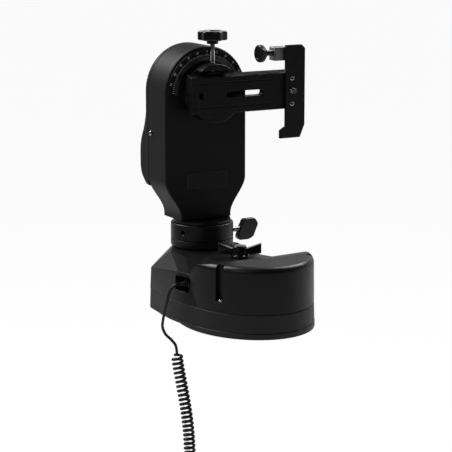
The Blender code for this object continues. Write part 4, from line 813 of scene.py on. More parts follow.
def buildTray():
    look = trayLook
    seam = baseLook["traySeam"]
    edge = look["edge"]
    low = look["plate"]
    plate = loft(levelRings([(basePlan(0.6 * mm), low), (basePlan(0), low + 0.6 * mm),
                             (basePlan(0), seam - edge), (basePlan(edge), seam)]))

    def flangePlan(inset):
        nose = noseArc(inset - edge, 0, 80)
        tail = []
        for step in range(1, 32):
            angle = math.pi / 2 + math.pi * step / 32
            tail.append(((look["flangeBack"] - inset) * math.cos(angle), nose[-1][1] * math.sin(angle)))
        return nose + tail

    low = look["flange"]
    flange = loft(levelRings([(flangePlan(1 * mm), low), (flangePlan(0.3 * mm), low + 0.3 * mm),
                              (flangePlan(0), low + 1 * mm), (flangePlan(0), seam - edge),
                              (flangePlan(edge), seam)]))
    radius, depth = look["recess"]
    recess = rod(radius, -mm, depth, steps=96)
    tray = cut(joined(plate, flange), recess, rod(look["bore"], 0, 20 * mm, steps=48))
    addPiece(tray, "trayCasting", finishOf("blastedPowderCoat"), "base", ("base_tray",), sharp=25)
    x, y = look["bumperSpot"]
    profile = roundedPath([(reach * mm, height * mm) for reach, height in look["bumper"]], 0.7 * mm)
    for side, name in ((-1, "left"), (1, "right")):
        addPiece(turned(profile, centre=(x, side * y, 0), steps=32), name + "Bumper",
                 finishOf("softRubber"), "base", ("base_foot_" + name,))


def buildLowerShell():
    low = baseLook["traySeam"] + gap
    high = baseLook["shellSeam"]
    edge = baseLook["seamEdge"]
    draft = baseLook["draft"]
    outer = loft(levelRings([(basePlan(edge), low), (basePlan(0), low + edge),
                             (basePlan(draft), high - edge), (basePlan(draft + edge), high)]))
    inner = slab(basePlan(baseLook["wall"]), low - mm, high + mm)
    addPiece(cut(outer, inner), "lowerShellCasting", finishOf("blastedPowderCoat"), "base",
             ("base_lower_shell",), sharp=25)


def drumRings():
    look = baseLook
    low = look["shellSeam"] + gap
    back = look["noseCentre"] + mm
    draft = look["draft"]
    fillet = look["fillet"]
    side = look["drumTop"] - fillet - low - mm
    rings = [(noseArc(draft + look["seamEdge"], back, 96), low),
             (noseArc(draft, back, 96), low + look["seamEdge"])]
    rings += [(noseArc(draft * (1 + step / 4), back, 96), low + mm + side * step / 4)
              for step in range(1, 5)]
    for step in range(1, 11):
        angle = math.pi / 2 * step / 10
        rings.append((noseArc(2 * draft + fillet * (1 - math.cos(angle)), back, 96),
                      look["drumTop"] - fillet + fillet * math.sin(angle)))
    return levelRings(rings)


def blockPoints():
    look = baseLook
    low = look["shellSeam"] + gap
    points = [(x, y, low) for x, y in basePlan(look["draft"], 24, 0.01 * mm) if x < 28 * mm]
    for corners, eaves, side in ((look["near"], look["nearEaves"], -1), (look["far"], look["farEaves"], 1)):
        points += [(x, y, z * mm) for (x, y), z in zip(blockSide(corners, 1.5 * mm, side), eaves)]
    points += [(x * mm, y * mm, z * mm) for x, y, z in look["ridge"]]
    return points + [(x * mm, y * mm, look["blockTop"]) for x, y in look["flat"]]


def deckPoints():
    points = []
    for x, top, halfTop, halfLow, eave in baseLook["deck"]:
        for side in (1, -1):
            points += [(x * mm, side * halfTop * mm, top * mm), (x * mm, side * halfLow * mm, eave * mm),
                       (x * mm, side * halfLow * mm, baseLook["shellSeam"] + gap)]
    return points


def rampSpaces():
    return [hull([(x * mm, side * y * mm, z) for x, y, low in corners for side in (1, -1)
                  for z in ((low + 0.2) * mm, baseLook["drumTop"] + 10 * mm)])
            for corners in (baseLook["shoulders"], baseLook["slope"])]


slotLook = {"angle": 57.5, "inset": 4.4 * mm, "radius": 4.4 * mm, "floor": 38 * mm, "reach": 12 * mm}


def slotSpot(side):
    angle = side * math.radians(slotLook["angle"])
    x, y = nosePoint(angle, 0)
    outward = Vector((math.cos(angle) / baseLook["noseLength"],
                      math.sin(angle) / baseLook["halfWidth"])).normalized()
    return Vector((x, y)) - outward * slotLook["inset"], outward


def screwSlot(side):
    # a channel with a round back, open to the drum's side and top
    spot, outward = slotSpot(side)
    across = Vector((-outward.y, outward.x))
    outline = [spot + outward * slotLook["reach"] - across * slotLook["radius"],
               spot + outward * slotLook["reach"] + across * slotLook["radius"]]
    for step in range(17):
        angle = math.pi * step / 16
        outline.append(spot + (across * math.cos(angle) - outward * math.sin(angle)) * slotLook["radius"])
    return slab([tuple(point) for point in outline], slotLook["floor"], baseLook["drumTop"] + 5 * mm)


portLook = {"x": 3 * mm, "z": 47.5 * mm, "half": (12 * mm, 8 * mm), "floor": 61 * mm, "round": 2 * mm}
panelLook = {"face": 59.5 * mm, "span": (-57 * mm, -21 * mm), "z": 38 * mm, "half": 7.5 * mm}


def portSpace():
    halfX, halfZ = portLook["half"]
    outline = roundedPath([(-halfZ, -halfX), (halfZ, -halfX), (halfZ, halfX), (-halfZ, halfX)],
                          portLook["round"], 4, True)
    pocket = slab(outline, -90 * mm, -portLook["floor"], "Y", (portLook["x"], 0, portLook["z"]))
    hole = box((portLook["x"] - 6 * mm, -70 * mm, portLook["z"] - 4 * mm),
               (portLook["x"] + 6 * mm, -57.5 * mm, portLook["z"] + 4 * mm))
    return [pocket, hole]


def panelSpace():
    low, high = panelLook["span"]
    middle = (low + high) / 2
    halfX = (high - low) / 2
    half = panelLook["half"]
    outline = roundedPath([(-half, -halfX), (half, -halfX), (half, halfX), (-half, halfX)], 1.5 * mm, 4,
                          True)
    recess = slab(outline, panelLook["face"], 90 * mm, "Y", (middle, 0, panelLook["z"]))
    switchHole = box((-53 * mm, 43 * mm, 32.5 * mm), (-39 * mm, 61 * mm, 43.5 * mm))
    return [recess, switchHole, rod(5.3 * mm, 43 * mm, 61 * mm, "Y", (-29 * mm, 0, panelLook["z"]))]


def buildUpperShell():
    drum = cut(loft(drumRings()), *rampSpaces())
    block = eased(hull(blockPoints()), 1.8 * mm, 4, 12)
    deck = eased(hull(deckPoints()), 2.2 * mm, 4, 8)
    shell = joined(drum, block, deck)
    sleeveHole = rod(baseLook["sleeveHole"], 50 * mm, 75 * mm, steps=64)
    shell = cut(shell, sleeveHole, screwSlot(1), screwSlot(-1), *portSpace(), *panelSpace())
    addPiece(shell, "upperShellCasting", finishOf("satinPowderCoat"), "base", ("base_upper_shell",),
             sharp=28)
    for side, name in ((-1, "left"), (1, "right")):
        spot = slotSpot(side)[0]
        low = slotLook["floor"] + gap
        profile = [(0, 14 * mm), (1.6 * mm, 15 * mm), (1.6 * mm, low), (3 * mm, low)]
        profile += roundedPath([(3 * mm, low), (3 * mm, low + 1.7 * mm), (2 * mm, low + 2.6 * mm),
                                (0, low + 2.6 * mm)], 0.5 * mm, 3)[1:]
        head = turned(profile, centre=(*spot, 0), steps=40)
        socket = hexSocket(1.3 * mm, low + 1 * mm, low + 4 * mm, centre=(*spot, 0))
        addPiece(cut(head, socket), name + "CaseScrew", finishOf("hardChrome", "Z", (*spot, 0)), "base",
                 ("case_screw_" + name,))


panelPieceLook = {
    "jack": ((0, 45.5), (7, 45.5), (7, 55.2), (5, 55.2), (5, 60.1), (4.6, 60.5), (3.2, 60.5), (2.8, 60.1),
             (2.8, 50.5), (1, 50.5), (1, 59.2), (0.7, 59.5), (0, 59.5)),
    "jackCentre": (-29 * mm, 0, 38 * mm),
    "rocker": ((-4.9, -1), (0, -3.5), (4.9, -1), (4.9, 1.4), (2.6, 1.05), (0, 0.9), (-2.6, 1.05),
               (-4.9, 1.4)),
    "rockerCentre": (-46 * mm, 60 * mm, 38 * mm), "rockerTurn": 8,
}


def buildPanelPieces():
    look = panelPieceLook
    # power jack: a moulded collar round a barrel and pin; the real barrel is nickel, here the whole jack
    # takes the nylon finish
    jack = turned([(radius * mm, height * mm) for radius, height in look["jack"]], "Y", look["jackCentre"],
                  48)
    addPiece(jack, "powerJack", finishOf("mouldedNylon"), "base", ("power_socket",))
    frameBox = eased(box((-52.6 * mm, 45.5 * mm, 32.9 * mm), (-39.4 * mm, 60.7 * mm, 43.1 * mm)), 0.5 * mm)
    well = box((-51.6 * mm, 53.5 * mm, 33.9 * mm), (-40.4 * mm, 63.5 * mm, 42.1 * mm))
    addPiece(cut(frameBox, well), "switchFrame", finishOf("mouldedNylon"), "base", ("switch_frame",))
    rocker = eased(slab([(x * mm, y * mm) for x, y in look["rocker"]], -3.7 * mm, 3.7 * mm), 0.25 * mm)
    rocker.data.transform(Matrix.Translation(look["rockerCentre"])
                          @ Matrix.Rotation(math.radians(look["rockerTurn"]), 4, "Z"))
    addPiece(rocker, "powerRocker", finishOf("polishedPhenolic"), "power_rocker", ("switch_rocker",))


turntableLook = {
    "turns": 8, "pitch": 1.5875, "crest": 4.1, "groove": 4.76,
    "disc": ((5.2, 0), (45, 0), (45.7, 0.3), (46, 1), (46, 5)),
    "spindle": ((12, 5), (12, 21.7), (10, 21.7), (10, 27.7), (4, 27.7), (4, 76.7), (3.7, 77), (0, 77)),
}


def buildTurntable():
    look = turntableLook
    threads = []
    for turn in range(look["turns"]):
        height = 0.6 + turn * look["pitch"]
        threads += [(look["groove"], height), (look["crest"], height + 0.6), (look["crest"], height + 0.9),
                    (look["groove"], height + 1.5)]
    profile = [(0, 14), *reversed(threads), *look["disc"], *look["spindle"]]
    addPiece(turned([(radius * mm, height * mm) for radius, height in profile], steps=96), "turntableDisc",
             finishOf("turnedAluminium"), "turntable", ("turntable_plate",))


knobLook = {
    "foot": 68.6, "angle": 61,
    "hub": ((0, 78), (4.3, 78), (4.3, 70.6), (7.3, 70.6), (7.3, 68.6), (10, 68.6), (10, 70.6), (8, 71.6),
            (7.5, 79.5), (6.5, 81), (0, 81)),
    # a wing's sections: reach, lower and upper edge, half its thickness
    "wing": ((6, 3, 8.9, 3.5), (14, 3.4, 10.9, 2.8), (23, 4.4, 14.9, 2.6)),
}


def buildClutchKnob():
    foot = knobLook["foot"] * mm
    hub = turned(roundedPath([(radius * mm, height * mm) for radius, height in knobLook["hub"]], 0.5 * mm,
                             2),
                 steps=48)
    angle = math.radians(knobLook["angle"])
    along = Vector((math.cos(angle), math.sin(angle), 0))
    across = Vector((-along.y, along.x, 0))
    wings = []
    for side in (1, -1):
        points = [along * side * reach * mm + across * shift * mm + Vector((0, 0, foot + height * mm))
                  for reach, bottom, top, half in knobLook["wing"]
                  for height in (bottom, top) for shift in (-half, half)]
        wings.append(eased(hull(points), 1.1 * mm, 4, 20))
    addPiece(joined(hub, *wings), "wingedKnob", finishOf("polishedPhenolic"), "clutch_knob",
             ("azimuth_clutch_knob",))


buildTray()
buildLowerShell()
buildUpperShell()
buildPanelPieces()
buildTurntable()
buildClutchKnob()
print("base built")


# Neck

neckLook = {
    "x": -85 * mm, "radius": 34.5, "bore": 27, "low": 66.3, "seam": 75.3, "top": 93.3,
    "clampHole": (2.9 * mm, 79.5 * mm),
    "threadedHole": {"radius": 2.2 * mm, "mouth": 3.4 * mm, "z": 84.5 * mm, "angle": -65.7},
    "spigot": ((21, 67), (26.5, 67), (26.5, 93.6), (31.5, 93.6), (31.5, 96.9), (21, 96.9)),
}


def buildCollars():
    look = neckLook
    centre = (look["x"], 0, 0)
    radius, bore, low, seam, top = (look[key] for key in ("radius", "bore", "low", "seam", "top"))
    profile = [(bore, low), (radius - 1.7, low), (radius, low + 2.2), (radius, seam - 0.5),
               (radius - 0.5, seam), (bore, seam)]
    lower = turned(roundedPath([(r * mm, h * mm) for r, h in profile], 0.5 * mm, 2, True), centre=centre,
                   steps=128, closed=True)
    addPiece(lower, "lowerCollarCasting", finishOf("satinPowderCoat"), "base", ("lower_collar",), sharp=30)
    bottom = seam + 0.3
    profile = [(bore, bottom), (radius - 0.5, bottom), (radius, bottom + 0.5), (radius, top - 0.8),
               (radius - 0.8, top), (bore, top)]
    upper = turned(roundedPath([(r * mm, h * mm) for r, h in profile], 0.35 * mm, 2, True), centre=centre,
                   steps=128, closed=True)
    holeRadius, height = look["clampHole"]
    holes = [rod(holeRadius, (bore - 5) * mm, (radius + 5) * mm, "Y", (look["x"], 0, height))]
    hole = look["threadedHole"]
    turn = Matrix.Rotation(math.radians(hole["angle"]), 4, "Z") @ Matrix.Rotation(math.pi / 2, 4, "Y")
    sink = radius * mm - 0.9 * mm
    mouth = (radius + 0.4) * mm
    for space in (rod(hole["radius"], (bore - 5) * mm, (radius + 5) * mm),
                  turned([(0, sink), (hole["radius"], sink), (hole["mouth"], mouth), (0, mouth)],
                         steps=40)):
        space.data.transform(Matrix.Translation((look["x"], 0, hole["z"])) @ turn)
        holes.append(space)
    addPiece(cut(upper, *holes), "upperCollarRing", finishOf("turnedAnodised", "Z", centre), "base",
             ("upper_collar",), sharp=30)
    spigot = turned(roundedPath([(r * mm, h * mm) for r, h in look["spigot"]], 0.5 * mm, 2, True),
                    centre=centre, steps=96, closed=True)
    addPiece(spigot, "footSpigot", finishOf("turnedAnodised", "Z", centre), "arm", ("neck_spigot",),
             sharp=30)


paddleLook = {
    "corners": ((8, 11), (22, 11), (26, 4.5), (20, -9.5), (14, -12.5), (2, -12.5), (-0.5, -9), (2.5, 0.5)),
    "start": 44,
    "z": 79.5,
    "half": 3.8,
}


def buildCollarClamp():
    look = paddleLook
    outline = roundedPath([((look["start"] + y) * mm, (look["z"] + z) * mm) for y, z in look["corners"]],
                          2 * mm, 3, True)
    paddle = eased(slab(outline, neckLook["x"] - look["half"] * mm, neckLook["x"] + look["half"] * mm, "X"),
                   0.9 * mm, 3, 50)
    bore = rod(neckLook["clampHole"][0], (look["start"] - 4) * mm, (look["start"] + 11) * mm, "Y",
               (neckLook["x"], 0, look["z"] * mm))
    addPiece(cut(paddle, bore), "clampPaddle", finishOf("polishedPhenolic"), "collar_clamp",
             ("collar_clamp_paddle",))
    threads = [(0, 26.8), (2.2, 26.8)]
    for turn in range(14):
        height = 27.2 + turn * 0.8
        threads += [(2.6, height + 0.2), (2.6, height + 0.35), (2.25, height + 0.6)]
    threads += [(2.6, 38.6), (2.6, 53.6), (2.2, 54), (0, 54)]
    centre = (neckLook["x"], 0, look["z"] * mm)
    screw = turned([(r * mm, y * mm) for r, y in threads], "Y", centre, 40)
    addPiece(screw, "clampScrew", finishOf("turnedSteel", "Y", centre), "collar_clamp",
             ("collar_clamp_screw",))


buildCollars()
buildCollarClamp()
print("neck built")


# Arm

armLook = {
    "front": -74 * mm, "seam": -116 * mm, "bottom": 97.2 * mm, "tilt": 236 * mm,
    "halfWidth": 49.6 * mm, "archRise": 51 * mm, "footHalf": 31 * mm,
    "curveLow": 101 * mm, "curveRise": 40 * mm, "frontRound": 2.6 * mm,
    "shaftHole": 9 * mm, "screw": (-109.5 * mm, 191 * mm), "screwHole": 1.8 * mm,
}


def archPoints(inset, steps=72):
    half = armLook["halfWidth"] - inset
    rise = armLook["archRise"] - inset
    return [(half * math.cos(math.pi * step / steps), armLook["tilt"]
             + rise * math.sin(math.pi * step / steps))
            for step in range(steps + 1)]


def armOutline(inset):
    look = armLook
    side = []
    for step in range(33):
        share = 1 - step / 32
        width = look["footHalf"] + (look["halfWidth"] - look["footHalf"]) * smoothStep(share)
        side.append((width - inset, look["curveLow"] + look["curveRise"] * share))
    side.append((look["footHalf"] - inset, look["bottom"] + min(inset, 1 * mm)))
    return archPoints(inset) + [(-y, z) for y, z in side] + list(reversed(side))


def quarterRound(radius, steps, low, high):
    # insets and depths of a rounded edge that ends at high; low is where the straight side starts
    spots = [(0, low)]
    for step in range(steps + 1):
        angle = math.pi / 2 * step / steps
        spots.append((radius * (1 - math.cos(angle)), high - radius + radius * math.sin(angle)))
    return spots


def buildHousing():
    look = armLook
    levels = [(0.5 * mm, look["seam"]), (0, look["seam"] + 0.5 * mm)]
    levels += quarterRound(look["frontRound"], 6, look["seam"] + 2 * mm, look["front"])
    housing = loft([[(x, y, z) for y, z in armOutline(inset)] for inset, x in levels])
    holes = [rod(look["shaftHole"], -110 * mm, -70 * mm, "X", (0, 0, look["tilt"]), 64)]
    x, z = look["screw"]
    for side in (1, -1):
        span = sorted((side * (look["halfWidth"] - 8 * mm), side * (look["halfWidth"] + 5 * mm)))
        holes.append(rod(look["screwHole"], *span, "Y", (x, 0, z)))
    addPiece(cut(housing, *holes), "armHousingCasting", finishOf("armPowderCoat"), "arm",
             ("arm_front_housing",), sharp=25)


coverLook = {
    "front": -116.3 * mm, "back": -124 * mm, "bottom": 131 * mm, "bulgeBack": -146 * mm,
    # height above the cover's foot, and the bulge's depth there as a share
    "bulge": ((1.5, 0.0), (3.5, 0.30), (7, 0.62), (12, 0.87), (18, 0.98), (24, 1.0), (36, 1.0), (43, 0.97),
              (50, 0.87), (57, 0.7), (64, 0.47), (71, 0.27), (78, 0.12), (85, 0.03), (92, 0.0)),
    "corner": 7 * mm,
}


def coverOutline(inset):
    half = armLook["halfWidth"] - inset
    low = coverLook["bottom"] + inset
    foot = roundedPath([(-half, low + 30 * mm), (-half, low), (half, low), (half, low + 30 * mm)], 5 * mm,
                       5)
    return archPoints(inset) + foot


def bulgeRing(height, share):
    # section across the bulge: the cover's face, then round corners at its back
    look = coverLook
    depth = (look["back"] - look["bulgeBack"]) * share
    half = armLook["halfWidth"] - (1.1 + 1.4 * share) * mm
    start = look["back"] + 3 * mm
    end = look["back"] - depth
    corner = min(look["corner"], depth + 1.5 * mm)
    path = roundedPath([(start, -half), (end, -half), (end, half), (start, half)], corner, 8)
    return [(x, y, look["bottom"] + height * mm) for x, y in path]


def buildCover():
    look = coverLook
    levels = [(0.5 * mm, look["front"]), (0, look["front"] - 0.5 * mm)]
    levels += [(inset, look["front"] - depth) for inset, depth in
               quarterRound(3 * mm, 5, 2 * mm, look["front"] - look["back"])]
    plate = loft([[(x, y, z) for y, z in coverOutline(inset)] for inset, x in levels])
    bulge = look["bulge"]
    spots = []
    for first, second in zip(bulge, bulge[1:]):
        spots += [(first[0] + (second[0] - first[0]) * step / 3, first[1]
                   + (second[1] - first[1]) * step / 3)
                  for step in range(3)]
    spots.append(bulge[-1])
    smooth = [spots[0]] + [(here[0], (before[1] + 2 * here[1] + after[1]) / 4)
                           for before, here, after in zip(spots, spots[1:], spots[2:])] + [spots[-1]]
    hump = loft([bulgeRing(height, share) for height, share in smooth])
    cover = joined(plate, hump)
    notch = box((look["back"] - 1 * mm, -52 * mm, 250 * mm), (look["back"] + 6 * mm, -46.4 * mm, 254 * mm))
    addPiece(cut(cover, notch), "armCoverCasting", finishOf("armPowderCoat"), "arm", ("arm_rear_cover",),
             sharp=30)


def buildArmScrews():
    head = armLook["halfWidth"] + gap
    x, z = armLook["screw"]
    thin, long = 0.3 * mm, 1.5 * mm
    for side, name in ((-1, "left"), (1, "right")):
        dome = roundedPath([(2.8 * mm, head), (2.8 * mm, head + 0.9 * mm), (1.7 * mm, head + 1.8 * mm),
                            (0, head + 1.8 * mm)],
                           0.6 * mm, 3)
        profile = [(0, head - 5.6 * mm), (1.5 * mm, head - 4.8 * mm), (1.5 * mm, head)] + dome
        centre = (x, 0, z)
        screw = turned([(radius, side * height) for radius, height in profile], "Y", centre, 40)
        low, high = sorted((side * (head + 1.1 * mm), side * (head + 3 * mm)))
        slots = [slab([(z - tall, x - wide), (z + tall, x - wide), (z + tall, x + wide),
                       (z - tall, x + wide)],
                      low, high, "Y") for tall, wide in ((thin, long), (long, thin))]
        addPiece(cut(screw, *slots), name + "SeamScrew", finishOf("hardChrome", "Y", centre), "arm",
                 ("arm_seam_screw_" + name,))


labelLook = {"low": 131 * mm, "high": 149.5 * mm, "half": 25.3 * mm, "back": -73.7 * mm,
             "front": -73.2 * mm, "round": 1.5 * mm, "line": 0.45 * mm, "inset": 1.4 * mm}


def buildLabel():
    # the place of the plate stays bare, with a thin pressed line round it
    look = labelLook

    def outline(inset):
        half, low, high = look["half"] - inset, look["low"] + inset, look["high"] - inset
        return roundedPath([(-half, low), (half, low), (half, high), (-half, high)], look["round"], 4, True)

    plate = loft([[(x, y, z) for y, z in outline(inset)] for inset, x in
                  ((0, look["back"]), (0, look["front"] - 0.15 * mm), (0.15 * mm, look["front"]))])
    groove = slab(outline(look["inset"]), look["front"] - 0.12 * mm, look["front"] + mm, "X")
    island = slab(outline(look["inset"] + look["line"]), look["front"] - mm, look["front"] + 2 * mm, "X")
    addPiece(cut(plate, cut(groove, island)), "barePlate", finishOf("blackAnodised"), "arm",
             ("arm_label_plate",))


buildHousing()
buildCover()
buildArmScrews()
buildLabel()
print("arm built")


# Tilting head: the dial stays on the arm, the hub, the saddle and the bar turn

tiltCentre = (0, 0, armLook["tilt"])

dialLook = {
    "back": -73.7 * mm, "stripeFront": -72 * mm, "ringFront": -72.25 * mm,
    "inner": 35.5 * mm, "stripe": 39.6 * mm, "outer": 47.5 * mm, "edge": 0.25 * mm,
    "step": 3,  # degrees between marks
    "ticks": {"short": (40.4, 41.8), "middle": (40.4, 42.4), "long": (40.4, 43)},
    "tickHalf": 0.2 * mm, "inkDepth": 0.06 * mm, "numberAt": 45.1 * mm, "numberSize": 3.1 * mm,
}


def halfRing(inner, outer, back, front, edge, steps=96):
    def outline(inset):
        points = []
        for radius, outward in ((outer - inset, True), (inner + inset, False)):
            start = math.asin(inset / radius)
            for step in range(steps + 1):
                share = step / steps if outward else 1 - step / steps
                angle = start + (math.pi - 2 * start) * share
                points.append((radius * math.cos(angle), tiltCentre[2] + radius * math.sin(angle)))
        return points

    return loft([[(x, y, z) for y, z in outline(inset)] for inset, x in
                 ((0, back), (0, front - edge), (edge * 0.3, front - edge * 0.3), (edge, front))])


def gathered(solids):
    shape = bmesh.new()
    for solid in solids:
        shape.from_mesh(solid.data)
        bpy.data.objects.remove(solid, do_unlink=True)
    return toSolid(shape)


def inkNumber(words, size, depth):
    data = bpy.data.curves.new("ink", "FONT")
    data.body = words
    data.size = size
    data.align_x = "CENTER"
    data.align_y = "CENTER"
    data.extrude = depth
    data.resolution_u = 3
    text = bpy.data.objects.new("ink", data)
    bpy.context.scene.collection.objects.link(text)
    bpy.context.view_layer.update()
    mesh = bpy.data.meshes.new_from_object(text.evaluated_get(bpy.context.evaluated_depsgraph_get()))
    bpy.data.objects.remove(text, do_unlink=True)
    shape = bmesh.new()
    shape.from_mesh(mesh)
    bmesh.ops.remove_doubles(shape, verts=shape.verts, dist=size * 1e-4)
    return toSolid(shape)


def buildDial():
    look = dialLook
    stripe = halfRing(look["inner"], look["stripe"], look["back"], look["stripeFront"], look["edge"])
    addPiece(stripe, "dialStripe", finishOf("brushedStripe", "X", tiltCentre), "arm", ("tilt_scale",))
    ring = halfRing(look["stripe"], look["outer"], look["back"], look["ringFront"], look["edge"])
    addPiece(ring, "dialRing", finishOf("turnedAnodised", "X", tiltCentre), "arm")
    front = look["ringFront"]
    marks = []
    for degrees in range(look["step"], 180, look["step"]):
        kind = "long" if degrees % 30 == 0 else "middle" if degrees % 15 == 0 else "short"
        low, high = look["ticks"][kind]
        half = look["tickHalf"]
        mark = slab([(low * mm, -half), (high * mm, -half), (high * mm, half), (low * mm, half)],
                    front - 0.1 * mm, front + look["inkDepth"], "X")
        mark.data.transform(Matrix.Translation(tiltCentre) @ Matrix.Rotation(math.radians(degrees), 4, "X"))
        marks.append(mark)
        if degrees % 15 == 0:
            number = inkNumber(str(abs(90 - degrees)), look["numberSize"], look["inkDepth"])
            flat = Matrix(((0, 0, 1, 0), (1, 0, 0, 0), (0, 1, 0, 0), (0, 0, 0, 1)))
            turn = Matrix.Rotation(math.radians(degrees - 90), 4, "X")
            number.data.transform(Matrix.Translation((front, 0, tiltCentre[2])) @ turn
                                  @ Matrix.Translation((0, 0, look["numberAt"])) @ flat)
            marks.append(number)
    addPiece(gathered(marks), "dialMarks", finishOf("dialInk"), "arm")


saddleLook = {
    "back": -65.7 * mm, "front": -50.5 * mm, "radius": 30 * mm, "rise": 3.4 * mm, "edge": 1 * mm,
    "channel": ((213.7, -63.4), (262.8, -63.4), (262.8, -48.5), (216.47, -48.5)),
    "jaw": 262.8 * mm, "screwX": -60 * mm,
}


def saddleLevel(inset, x, half=64):
    look = saddleLook
    radius = look["radius"] - inset
    points = []
    for rise, start in ((look["rise"], 0), (0, math.pi)):
        for step in range(half + 1):
            angle = start + math.pi * step / half
            points.append((x, radius * math.cos(angle), tiltCentre[2] + rise + radius * math.sin(angle)))
    return points


def buildSaddle():
    look = saddleLook
    profile = [(0, -68), (8.3, -68), (8.3, -73.4), (28.5, -73.4), (29.5, -72.6), (29.5, -67), (28.9, -66.2),
               (28.5, -66), (24, -66), (23.6, -66.4), (22.4, -66.4), (22, -66), (0, -66)]
    hub = turned([(radius * mm, x * mm) for radius, x in profile], "X", tiltCentre, 96)
    addPiece(hub, "tiltHubDisc", finishOf("turnedAnodised", "X", tiltCentre), "tilt_head", ("tilt_hub",),
             sharp=30)
    edge = look["edge"]
    levels = [(edge, look["back"]), (0, look["back"] + edge)]
    levels += quarterRound(edge, 4, look["front"] - edge - mm, look["front"])[1:]
    body = loft([saddleLevel(inset, x) for inset, x in levels])
    channel = slab([(z * mm, x * mm) for z, x in look["channel"]], -40 * mm, 40 * mm, "Y")
    hole = rod(2.8 * mm, look["jaw"] - mm, 280 * mm, centre=(look["screwX"], 0, 0))
    addPiece(cut(body, channel, hole), "saddleJaws", finishOf("blackAnodised"), "tilt_head",
             ("saddle_body",), sharp=30)


clampKnobLook = {"low": 294.5, "high": 304.5, "radius": 16, "dip": 1.6, "lobes": 6, "axis": -60 * mm}


def buildSaddleClamp():
    look = clampKnobLook
    axis = (look["axis"], 0, 0)
    threads = [(0, 260.2), (2.1, 260.2)]
    for turn in range(28):
        height = 260.6 + turn * 0.8
        threads += [(2.5, height + 0.2), (2.5, height + 0.35), (2.2, height + 0.6)]
    threads += [(2.5, 283.6), (2.5, 300.1), (2.1, 300.5), (0, 300.5)]
    screw = turned([(radius * mm, height * mm) for radius, height in threads], centre=axis, steps=40)
    addPiece(screw, "jawScrew", finishOf("turnedSteel", "Z", axis), "saddle_knob", ("saddle_clamp_screw",))

    def level(scale, height):
        points = []
        for step in range(144):
            angle = math.tau * step / 144
            radius = look["radius"] - look["dip"] * (1 - math.cos(look["lobes"] * angle))
            points.append((axis[0] + radius * scale * math.cos(angle) * mm,
                           radius * scale * math.sin(angle) * mm, height * mm))
        return points

    low, high = look["low"], look["high"]
    head = loft([level(scale, height) for scale, height in (
        (0.9, low), (0.955, low + 0.25), (0.985, low + 0.75), (1, low + 1.5), (1, high - 2.4),
        (0.99, high - 1.4), (0.965, high - 0.6), (0.925, high - 0.15), (0.88, high))])
    skirt = turned([(radius * mm, height * mm) for radius, height in
                    ((0, low - 4), (5.7, low - 4), (6.2, low - 3.4), (6.2, low + 1), (0, low + 1))],
                   centre=axis, steps=64)
    bore = rod(2.8 * mm, (low - 5) * mm, (low + 7) * mm, centre=axis)
    # a shallow dish in the knob's top
    dish = turned([(0, (high - 0.7) * mm), (7 * mm, (high - 0.6) * mm), (8.6 * mm, (high + 0.4) * mm),
                   (0, (high + 0.4) * mm)], centre=axis, steps=64)
    addPiece(cut(joined(head, skirt), bore, dish), "lobedKnob", finishOf("polishedPhenolic"), "saddle_knob",
             ("saddle_clamp_knob",), sharp=30)


barLook = {
    "outline": ((214, -63.1), (258, -63.1), (255.6, -50.5), (216.4, -50.5)),  # height and X
    "span": (-30 * mm, 104 * mm), "screwY": 92 * mm,
    "bored": (-66 * mm, -48 * mm), "screwHole": 3.475 * mm, "smallHole": 1.8 * mm, "smallGap": 14 * mm,
    "endHole": (2.2 * mm, -17.5 * mm), "grooves": (13, 0.8), "slot": (12 * mm, 60 * mm, 3.3 * mm),
}
plateLook = {
    "back": -50.2 * mm, "front": -46.2 * mm,
    "outline": ((84, 286), (104, 286), (108, 282), (108, 198), (102, 184), (77, 184), (77, 193), (84, 197)),
}


def buildBar():
    look = barLook
    outline = roundedPath([(z * mm, x * mm) for z, x in look["outline"]], 0.5 * mm, 3, True)
    low, high = look["span"]
    bar = slab(outline, low, high, "Y")
    middle = armLook["tilt"]
    bored = look["bored"]
    radius, y = look["endHole"]
    cuts = [rod(radius, *bored, "X", (0, y, middle)),
            turned([(0, -53 * mm), (radius, -53 * mm), (radius + 2 * mm, -50.4 * mm), (0, -50.4 * mm)], "X",
                   (0, y, middle), 40)]
    spread, half = look["grooves"]
    for side in (-1, 1):
        cuts.append(box((-51.5 * mm, -32 * mm, middle + (side * spread - half) * mm),
                        (-49.5 * mm, 70 * mm, middle + (side * spread + half) * mm)))
    near, far, half = look["slot"]
    slotPath = roundedPath([(near, middle - half), (far, middle - half), (far, middle + half),
                            (near, middle + half)], 2.9 * mm, 5, True)
    cuts.append(slab(slotPath, *bored, "X"))
    cuts.append(rod(look["screwHole"], *bored, "X", (0, look["screwY"], middle)))
    for side in (-1, 1):
        cuts.append(rod(look["smallHole"], -58.5 * mm, -49 * mm, "X",
                        (0, look["screwY"], middle + side * look["smallGap"])))
    addPiece(cut(bar, *cuts), "dovetailRail", finishOf("blackAnodised"), "bar", ("dovetail_bar",), sharp=30)


